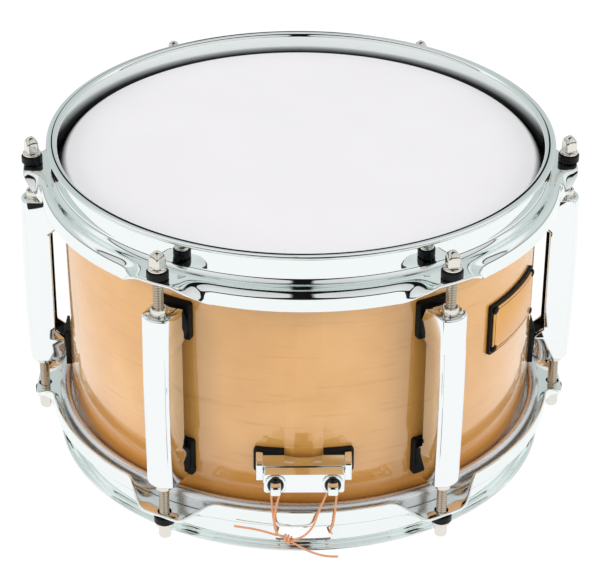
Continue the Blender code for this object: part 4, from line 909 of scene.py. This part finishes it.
inserts, seats, screws = [], [], []
for angle in LUG_ANGLES:
    for side in (Matrix(), FLIP):
        insert = ring(2.98, 4.2, INSERT_TOP - INSERT_LENGTH, INSERT_TOP, 0.35)
        inserts.append(moved(insert, side @ turned(angle) @ at(ROD_CIRCLE, 0, 0)))
        seat = bent_sheet(125.45, 128.3, 9.6, 116.1, 137.0, 1.6)
        seats.append(moved(seat, side @ turned(angle)))
for angle, across, height in lug_screws + plate_screws:
    seat_at = 118.4 - abs(across) / 12
    turned_screw = lathe([(0, 112.6), (2.6, 112.6), (3.2, 113.2), (3.4, 115.8), (5.0, 116.2),
                          (5.0, seat_at), (1.9, seat_at), (1.9, 129.5), (0, 129.5)], 24, closed=False)
    screws.append(moved(turned_screw, turned(angle) @ at(0, across, height) @ OUTWARD))
piece("threaded_inserts", gather(inserts), bright_nickel)
piece("lug_seat_gaskets", gather(seats), moulded_rubber)
piece("shell_screws", gather(screws), zinc_steel)
print("inserts, gaskets and screws:", 6 * 2, 6 * 2, len(lug_screws) + len(plate_screws))

# %% [markdown]
# ## Tension rods
# A rod is a threaded bolt with a square head for the drum key. A thread is a zigzag that climbs
# one pitch in one turn: spin can do that by itself, because it may also move along the axis at
# each step. The head is a stack of rings that change from round to square. The thread's faces
# get the second material, a darker and browner copy of the head's nickel, which is painted shade.
# Each rod turns by itself, and the black nylon washer under it stays with the drum.

# %% Rods and washers
THREAD_PITCH = 1.4
THREAD_DEPTH = 0.5
ROD_RADIUS = 2.7
ROD_TIP = 110.3
ROD_SEAT = 160.3
THREAD_SIDES = 20
BATTER_TURNS = (20, 40, 65, 25, 78, 72)
SNARE_TURNS = (5, 35, 60, 85, 32, 58)

rod_head = [(155.5, ROD_RADIUS, 2), (ROD_SEAT, ROD_RADIUS, 2), (ROD_SEAT, 4.55, 2),
            (ROD_SEAT + 0.25, 4.7, 2), (ROD_SEAT + 1.3, 4.7, 2), (ROD_SEAT + 1.6, 4.4, 2),
            (ROD_SEAT + 1.75, 3.6, 2.4), (ROD_SEAT + 2.0, 3.2, 5), (ROD_SEAT + 2.6, 3.15, 9),
            (ROD_SEAT + 5.6, 3.15, 9), (ROD_SEAT + 6.8, 3.1, 6), (ROD_SEAT + 7.8, 2.9, 4.5),
            (ROD_SEAT + 8.7, 2.5, 3.5), (ROD_SEAT + 9.4, 1.9, 2.8), (ROD_SEAT + 9.9, 1.2, 2.2),
            (ROD_SEAT + 10.15, 0.5, 2)]
rod_tip = [(ROD_TIP, 1.6, 2), (ROD_TIP + 0.8, 2.1, 2), (ROD_TIP + 3.0, 2.1, 2)]


def thread():
    """A climbing zigzag, spun once round and merged with its own next turn."""
    mesh = bmesh.new()
    count = round((156.5 - ROD_TIP) / THREAD_PITCH)
    zigzag = []
    for turn in range(count):
        low = ROD_TIP + turn * THREAD_PITCH
        zigzag.append(mesh.verts.new(((ROD_RADIUS - THREAD_DEPTH) * MM, 0, low * MM)))
        zigzag.append(mesh.verts.new((ROD_RADIUS * MM, 0, (low + THREAD_PITCH / 2) * MM)))
    edges = [mesh.edges.new(pair) for pair in zip(zigzag, zigzag[1:])]
    climb = (0, 0, THREAD_PITCH / THREAD_SIDES * MM)
    bmesh.ops.spin(mesh, geom=zigzag + edges, cent=(0, 0, 0), axis=(0, 0, 1), dvec=climb,
                   angle=TURN, steps=THREAD_SIDES, use_merge=False)
    bmesh.ops.remove_doubles(mesh, verts=mesh.verts, dist=0.01 * MM)
    # The thread's faces take the second material, a darker nickel that is painted shade.
    for face in mesh.faces:
        face.material_index = 1
    return mesh


for index, angle in enumerate(LUG_ANGLES, 1):
    for (prefix, side, *_), turns in zip(sides, (BATTER_TURNS, SNARE_TURNS)):
        spin = turned(math.radians(turns[index - 1]))
        place_rod = side @ turned(angle) @ at(ROD_CIRCLE, 0, 0)
        rod = gather([thread(), stack(rod_tip, 20), stack(rod_head, 40)])
        piece(f"{prefix}_key_rod_{index}", moved(rod, place_rod @ spin), [bright_nickel, shaded_thread_nickel],
              f"{prefix}_tension_{index}", [f"{prefix}_rod_{index}"], crease=50)
        washer = moved(ring(3.05, 5.5, 156.1, 160.0, 0.35), place_rod)
        piece(f"{prefix}_nylon_{index}", washer, moulded_nylon,
              stands_for=[f"{prefix}_washer_{index}"])
print("rods:", 2 * len(LUG_ANGLES))

# %% [markdown]
# ## Badge
# The badge is a gilt plaque on a black plinth, held by four dark rivets in notched corners, and
# it is left blank. Both plates are bent sheets. The thin line inside the plaque's border is an
# inset that steps down and up again, and its two rings of faces are enamelled dark. The
# plaque's own corners stay sharp, because an inset would fold over in a small round one, and
# the notches take the corners away.

# %% Badge
BADGE_ANGLE = math.radians(329.6)
BADGE_AT = 102.0
PLAQUE_FACE = 128.2
RIVET_ACROSS = 22.25
RIVET_RISE = 11.4
BORDER = 1.0
LINE = 0.22

plinth = bent_sheet(125.5, 127.3, 25.3, BADGE_AT - 14.4, BADGE_AT + 14.4, 1.2, 24)
piece("badge_plinth", moved(plinth, turned(BADGE_ANGLE)), moulded_rubber,
      stands_for=["badge_backing"])

plate = bent_sheet(127.5, PLAQUE_FACE, 23.75, BADGE_AT - 12.9, BADGE_AT + 12.9, 0, 24)
bmesh.ops.recalc_face_normals(plate, faces=plate.faces)
field = [face for face in plate.faces if face.normal.x > 0.9 and
         min(vert.co.xy.length for vert in face.verts) > (PLAQUE_FACE - 0.05) * MM]
bmesh.ops.inset_region(plate, faces=field, thickness=BORDER * MM, depth=0, use_even_offset=True)
for step in (-LINE / 2, LINE / 2):
    line = bmesh.ops.inset_region(plate, faces=field, thickness=LINE * MM, depth=step * MM,
                                  use_even_offset=True)
    for face in line["faces"]:
        face.material_index = 1
plaque = piece("badge_plaque", moved(plate, turned(BADGE_ANGLE)), [gilt_brass, moulded_rubber],
               stands_for=["badge_plate"])
rivet_view = [(0, 128.9), (1.0, 128.8), (1.6, 128.55), (1.9, 128.2), (1.9, 127.0), (0, 127.0)]
rivets, notches = [], []
for across in (-RIVET_ACROSS, RIVET_ACROSS):
    for rise in (-RIVET_RISE, RIVET_RISE):
        spot = turned(BADGE_ANGLE + across / PLAQUE_FACE) @ at(0, 0, BADGE_AT + rise) @ OUTWARD
        rivets.append(moved(lathe(rivet_view, 32, closed=False), spot))
        notches.append(moved(stack([(126, 2.25, 2), (130, 2.25, 2)], 32), spot))
carve(plaque, notches)
piece("badge_rivets", gather(rivets), moulded_rubber)
print("plaque faces:", len(plaque.data.polygons), "enamelled line:", 2 * LINE, "mm")

# %% [markdown]
# ## Butt plate
# The butt holds the snare cord at the front: a cast block with two cheeks, a clamp bar and two
# square-headed screws. Each part is a side view extruded sideways. The block's back is hollowed
# by the drum's own curve, and the thumb dip is a cylinder cut in square to the sloping top, so
# that its rim stays an even arc. Everything is built facing +X and turned to the front.

# %% Butt plate
PLATE_BACK = 127.9
BUTT_HALF = 20.3
CHEEK = 3.6
DIP_RADIUS = 32.1
DIP_TILT = math.radians(19.2)
DIP_CENTRE = (99.3, 0, 66.8)
BAR_HALF = 20.0
WASHER_RADIUS = 5.4

body_view = [(121, 43.2), (134.2, 43.2), (137.2, 46.2), (137.2, 52.1), (134.5, 52.1), (134.5, 54.5),
             (128.2, 56.7), (121, 56.7)]
cheek_view = [(121, 45.9), (134.8, 45.9), (134.8, 55.3), (128.2, 57.8), (121, 57.8)]
bar_view = [(139.1, CLAMP_HEIGHT - 5.4), (141.3, CLAMP_HEIGHT - 5.4), (141.3, CLAMP_HEIGHT + 5.4),
            (134.85, CLAMP_HEIGHT + 5.4), (134.85, CLAMP_HEIGHT + 3.9), (139.1, CLAMP_HEIGHT + 3.9)]


def drum_core():
    """The drum with its gasket, as a cutter for whatever sits on it."""
    return stack([(20, PLATE_BACK, 2), (150, PLATE_BACK, 2)], 192)


butt = piece("butt_block", slab(body_view, -BUTT_HALF, BUTT_HALF), chromed_zinc,
             stands_for=["butt_body"])
carve(butt, [drum_core()])
dip = stack([(-12, DIP_RADIUS, 2), (12, DIP_RADIUS, 2)], 128)
carve(butt, [moved(dip, at(*DIP_CENTRE) @ Matrix.Rotation(DIP_TILT, 4, "Y"))], crease=10)
butt.data.transform(turned(FRONT))
cheeks = [piece(f"butt_cheek_{side}", slab(cheek_view, start, start + CHEEK), chromed_zinc)
          for side, start in (("left", -BUTT_HALF - CHEEK), ("right", BUTT_HALF))]
for cheek in cheeks:
    carve(cheek, [drum_core()])

strip = slab(bar_view, -BAR_HALF, BAR_HALF)
corners = []
for edge in strip.edges:
    first, second = (vert.co / MM for vert in edge.verts)
    if abs(first.x - second.x) > 1 and abs(abs(first.z - CLAMP_HEIGHT) - 5.4) < 0.1:
        corners.append(edge)
bmesh.ops.bevel(strip, geom=corners, offset=1.4 * MM, segments=4, profile=0.5, affect="EDGES",
                material=-1)
pinch_bar = piece("butt_pinch_bar", strip, chromed_zinc, stands_for=["butt_clamp_bar"])
carve(pinch_bar, [bore(0, side * CLAMP_SCREW_ACROSS, CLAMP_HEIGHT, 1.8, 136, 144, 32)
                  for side in (-1, 1)])
for made, edge in [(pinch_bar, 0.4), (cheeks[0], 0.5), (cheeks[1], 0.5)]:
    made.data.transform(turned(FRONT))
    soften(made, edge)

SEAT = 142.6
key_screw = [(131.2, 1.2, 2), (131.6, 1.5, 2), (SEAT - 1.0, 1.5, 2), (SEAT - 1.0, WASHER_RADIUS - 0.2, 2),
             (SEAT - 0.8, WASHER_RADIUS, 2), (SEAT - 0.2, WASHER_RADIUS, 2),
             (SEAT, WASHER_RADIUS - 0.2, 2), (SEAT, 2.6, 9), (SEAT + 5.4, 2.6, 9),
             (SEAT + 5.9, 2.4, 6), (SEAT + 6.3, 1.9, 4)]
dome = [(SEAT - 0.1, 4.2, 2), (SEAT + 0.5, 4.15, 2), (SEAT + 1.1, 3.9, 2), (SEAT + 1.7, 3.4, 2),
        (SEAT + 2.1, 2.9, 2)]
for side, name in ((-1, "left"), (1, "right")):
    where = turned(FRONT) @ at(0, side * CLAMP_SCREW_ACROSS, CLAMP_HEIGHT) @ OUTWARD
    flange = stack(dome, 48)
    # The flange takes the second material, whose dark colour is a painted reflection.
    for face in flange.faces:
        face.material_index = 1
    screw = moved(gather([stack(key_screw, 48), flange]), where)
    piece(f"butt_key_screw_{name}", screw, [chromed_steel, flange_painted_dark_reflection],
          stands_for=[f"butt_clamp_screw_{name}"], crease=40)

seat = bent_sheet(125.45, 127.65, 25.4, 45.3, 59.1, 1.5, 24)
gasket = piece("butt_seat_gasket", seat, moulded_rubber, stands_for=["butt_gasket"])
carve(gasket, [block((115, -9.8, 52.2), (140, 9.8, 66))])
gasket.data.transform(turned(FRONT))
print("butt plate width:", 2 * (BUTT_HALF + CHEEK), "mm")

# %% [markdown]
# ## Strainer
# The throw-off faces away from the photograph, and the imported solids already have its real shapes
# and joints. It needs no second design: each solid's mesh is copied, its loose triangles are
# joined into clean faces, and a Bevel modifier gives the castings their soft edges.

# %% Strainer
strainer = [("strainer_base", "drum", chromed_zinc, "chrome", 0.35),
            ("strainer_gasket", "drum", moulded_rubber, "rubber", 0.15),
            ("strainer_slide", "throw_off_slide", chromed_zinc, "chrome", 0.35),
            ("strainer_clamp", "throw_off_slide", chromed_steel, "chrome", 0.25),
            ("strainer_knob", "tension_knob", chromed_steel, "chrome", 0.15),
            ("strainer_lever", "throw_off_lever", chromed_zinc, "chrome", 0.4)]
for name, body, metal, slot, edge in strainer:
    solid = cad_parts[name]
    mesh = bmesh.new()
    mesh.from_mesh(solid.data)
    moved(mesh, solid.matrix_world)
    bmesh.ops.remove_doubles(mesh, verts=mesh.verts, dist=0.001 * MM)
    bmesh.ops.dissolve_limit(mesh, angle_limit=math.radians(1), verts=mesh.verts, edges=mesh.edges)
    for face in mesh.faces:
        face.material_index = 0
    cast = piece(f"{name}_casting", mesh, metal, body, [name], crease=30)
    soften(cast, edge, 2, 45)
    print(cast.name, "faces:", len(cast.data.polygons))

# %% [markdown]
# ## Snare wires and their cords
# Twelve coiled steel strands are soldered to two end plates. A coil is a small triangle of wire
# spun many times round while it moves along, the same trick as the thread. The cord is taut
# from the clamp down the skirt, through the gate and up through the end plate's holes.

# %% Snares and taut cords
STRANDS = 12
STRAND_PITCH = 2.5
STRAND_HEIGHT = 8.25
STRAND_HALF = 100.4
COIL_RADIUS = 0.62
WIRE = 0.26
COIL_PITCH = 1.35
COIL_SIDES = 7
END_PLATE_TOP = 7.55


def coiled_strand():
    """One strand along Y, as three-sided wire."""
    mesh = bmesh.new()
    turns = round(2 * STRAND_HALF / COIL_PITCH)
    section = bmesh.ops.create_circle(mesh, segments=3, radius=WIRE * MM)["verts"]
    bmesh.ops.translate(mesh, verts=section, vec=(COIL_RADIUS * MM, -STRAND_HALF * MM, 0))
    climb = (0, COIL_PITCH / COIL_SIDES * MM, 0)
    bmesh.ops.spin(mesh, geom=mesh.verts[:] + mesh.edges[:], cent=(0, 0, 0), axis=(0, 1, 0),
                   dvec=climb, angle=TURN * turns, steps=turns * COIL_SIDES, use_merge=False)
    return mesh


one_strand = coiled_strand()
strands = [moved(one_strand.copy(), at((index - (STRANDS - 1) / 2) * STRAND_PITCH, 0, STRAND_HEIGHT))
           for index in range(STRANDS)]
one_strand.free()
piece("coiled_strands", gather(strands), zinc_steel, "snares", ["snare_strands"], 80)
bars = [block((-15.75, start, END_PLATE_TOP - 1.0), (15.75, start + 11.0, END_PLATE_TOP), 0.3)
        for start in (-109.0, 98.0)]
end_plates = piece("strand_end_plates", gather(bars), zinc_steel, "snares")
carve(end_plates, [moved(stack([(2, 2.0, 2), (12, 2.0, 2)], 24), at(across, along, 0))
                   for across in (-12.3, 12.3) for along in (-104.8, 104.8)])

taut_run = [(16.55, 138.15, 48.6), (16.55, 138.15, 43.2), (16.1, 137.95, 35.5), (15.6, 137.75, 27.9),
            (14.9, 137.3, 21.6), (14.6, 136.8, 19.4), (14.4, 135.7, 17.8), (14.1, 133.5, 16.3),
            (13.9, 131.1, 12.4), (13.7, 127.9, 8.6), (12.7, 121.0, 6.9), (12.3, 111.0, 5.9),
            (12.3, 106.2, 5.5), (12.3, 104.6, 7.0), (12.0, 103.6, 8.5), (9.7, 103.6, 8.5)]
clamp_loop = [(SLACK_ACROSS, CORD_REACH, SLACK_HEIGHT + GAP)]
clamp_loop += [(across, CORD_REACH, rise) for across, rise in
               arc(CLAMP_SCREW_ACROSS, CLAMP_HEIGHT, CLAMP_BEND, 180, 22, 7)]
for name, side, run, body, solid in (
        ("front_snare_cord", -1, clamp_loop + taut_run, "drum", "butt_cord"),
        ("rear_snare_cord", 1, taut_run, "throw_off_slide", "strainer_cord")):
    points = [(-x, side * y, z) for x, y, z in run] + [(x, side * y, z) for x, y, z in run[::-1]]
    made = dress(cord_curve(name, smooth_route(points, 3)), body, [solid])
    print(name, "has", len(made.data.splines[0].points), "points")

# %% [markdown]
# ## Floor and lamps
# Product pictures are shot on a white sweep that is lit until it burns out. A lamp could do that,
# but it would bleach the drum too, so here the floor mixes a matt white with a glow. The glow is
# what the camera, mirrors and clear film see; the matt part keeps a trace of shadow. Three soft
# lamps light the wood and the head, and they are hidden from mirrors, because in a real studio
# the chrome sees the walls and the big soft boxes, which the world draws next.

# %% Floor and lamps
FLOOR_HALF = 1.14
GLOW_SHARE = 0.93


def seen_by(tree, kinds):
    """1 for the kinds of ray that are listed, and 0 for all others."""
    total = add(tree, "ShaderNodeLightPath", {}, kinds[0])
    for kind in kinds[1:]:
        other = add(tree, "ShaderNodeLightPath", {}, kind)
        total = add(tree, "ShaderNodeMath", {0: total, 1: other}, operation="MAXIMUM")
    return total


sweep = bpy.data.materials.new("studio_sweep")
sweep.use_nodes = True
tree = sweep.node_tree
tree.nodes.clear()
mirror_rays = ["Is Camera Ray", "Is Glossy Ray", "Is Transmission Ray"]
glow_share = add(tree, "ShaderNodeMath", {0: seen_by(tree, mirror_rays), 1: GLOW_SHARE},
                 operation="MULTIPLY")
matt = add(tree, "ShaderNodeBsdfDiffuse", {"Color": srgb("#F6F6F6")})
glow = add(tree, "ShaderNodeEmission", {"Color": srgb("#FFFFFF"), "Strength": 1.04})
blend = add(tree, "ShaderNodeMixShader", {0: glow_share, 1: matt, 2: glow})
add(tree, "ShaderNodeOutputMaterial", {"Surface": blend})

mesh = bmesh.new()
bmesh.ops.create_grid(mesh, x_segments=1, y_segments=1, size=FLOOR_HALF)
data = bpy.data.meshes.new("studio_floor")
mesh.to_mesh(data)
mesh.free()
data.materials.append(sweep)
floor = bpy.data.objects.new("studio_floor", data)
floor.location = (0, 0, -0.0001)
bpy.context.scene.collection.objects.link(floor)

lamps = [("top_panel", (1.6, 1.2), (0.0, 0.25, 1.7), 7.0),
         ("left_panel", (0.9, 1.1), (-1.5, -0.6, 0.7), 9.0),
         ("right_panel", (0.9, 1.1), (1.5, -0.6, 0.7), 8.0)]
for name, size, place, power in lamps:
    lamp = bpy.data.lights.new(name, "AREA")
    lamp.shape = "RECTANGLE"
    lamp.size, lamp.size_y = size
    lamp.energy = power
    made = bpy.data.objects.new(name, lamp)
    made.location = place
    made.rotation_euler = (Vector((0, 0, 0.08)) - Vector(place)).to_track_quat("-Z", "Y").to_euler()
    made.visible_glossy = False
    bpy.context.scene.collection.objects.link(made)
print("lamps:", len(lamps), "floor half-size:", FLOOR_HALF, "m")

# %% [markdown]
# ## The room that chrome sees
# Chrome has no colour of its own: what it shows is the studio. Reflections of the real room were
# read off the hoops, lugs and nuts, and the world draws them by direction. `arc_angle` runs from
# the horizon behind the camera, up over the ceiling and down behind the drum. Along it lie soft
# walls, a bright panel overhead, a dark gap between the panels, and the unlit room at the
# horizon. Other rays get an even light, so that wood and film keep their own colours.

# %% World
world = bpy.data.worlds.new("studio")
world.use_nodes = True
bpy.context.scene.world = world
tree = world.node_tree
tree.nodes.clear()


def grey(level):
    """A grey of this linear light."""
    return (level, level, level, 1)


def share_of(value, low, high):
    """0 at low and 1 at high."""
    return add(tree, "ShaderNodeMapRange", {"Value": value, "From Min": low, "From Max": high},
               "Result")


def levels(value, stops):
    """Grey levels over a value from 0 to 1."""
    return add(tree, "ShaderNodeValToRGB", {"Fac": value}, "Color",
               stops=[(position, grey(level)) for position, level in stops])


def blended(share, first, second, how="MIX"):
    """Two colours mixed by a share."""
    return add(tree, "ShaderNodeMix", {"Factor": share, MIX_FIRST: first, MIX_SECOND: second},
               MIX_COLOUR, data_type="RGBA", blend_type=how)


direction = add(tree, "ShaderNodeTexCoord", {}, "Generated")
axes = tree.nodes.new("ShaderNodeSeparateXYZ")
feed(tree, axes, {"Vector": direction})
sideways = add(tree, "ShaderNodeMath", {0: axes.outputs["X"]}, operation="ABSOLUTE")
nearer = add(tree, "ShaderNodeMath", {0: axes.outputs["Y"], 1: -1.0}, operation="MULTIPLY")
arc_angle = add(tree, "ShaderNodeMath", {0: axes.outputs["Z"], 1: nearer}, operation="ARCTAN2")
over_arc = share_of(arc_angle, 0.0, TURN / 2)

dome_stops = [(0, 0.92), (60, 0.82), (75, 0.74), (106, 0.72), (112, 1.0), (125, 1.0), (135, 0.74),
              (180, 0.72)]
gap_stops = [(0, 0.40), (6, 0.34), (11, 0.17), (18, 0.08), (60, 0.06), (70, 0.12), (80, 0.26),
             (92, 0.46), (99, 0.60), (101, 1.0), (106, 1.0), (107.5, 0.001), (147, 0.001),
             (154, 0.045), (180, 0.06)]
dome = levels(over_arc, [(angle / 180, level) for angle, level in dome_stops])
gap_width = levels(over_arc, [(angle / 180, width) for angle, width in gap_stops])
gap_place = add(tree, "ShaderNodeMath", {0: sideways, 1: gap_width}, operation="DIVIDE")
gap = levels(share_of(gap_place, 0.8, 1.2), [(0, 0.01), (1, 1)])
side_walls = levels(share_of(sideways, 0.25, 0.7), [(0, 0.87), (1, 1)])
behind = share_of(over_arc, 130 / 180, 140 / 180)
tinted = blended(behind, (1, 1, 1, 1), (0.93, 1.0, 0.99, 1))
ahead = levels(share_of(sideways, 0.4, 0.8), [(0, 0.02), (1, 0.15)])
beyond = levels(share_of(sideways, 0.04, 0.14), [(0, 0.02), (1, 0.5)])
unlit = blended(share_of(axes.outputs["Y"], -0.3, 0.3), ahead, beyond)
skyline = share_of(axes.outputs["Z"], 0.055, 0.085)
walls = blended(1.0, blended(1.0, dome, gap, "MULTIPLY"), side_walls, "MULTIPLY")
room = blended(skyline, unlit, blended(1.0, walls, tinted, "MULTIPLY"))

even = add(tree, "ShaderNodeBackground", {"Color": grey(1), "Strength": 0.6})
reflected = add(tree, "ShaderNodeBackground", {"Color": room})
paper = add(tree, "ShaderNodeBackground", {"Color": grey(1)})
lit = add(tree, "ShaderNodeMixShader", {0: seen_by(tree, ["Is Glossy Ray"]), 1: even, 2: reflected})
shown = add(tree, "ShaderNodeMixShader", {0: seen_by(tree, ["Is Camera Ray", "Is Transmission Ray"]),
                                          1: lit, 2: paper})
add(tree, "ShaderNodeOutputWorld", {"Surface": shown})
bpy.context.scene.view_settings.view_transform = "Standard"
print("world nodes:", len(tree.nodes))
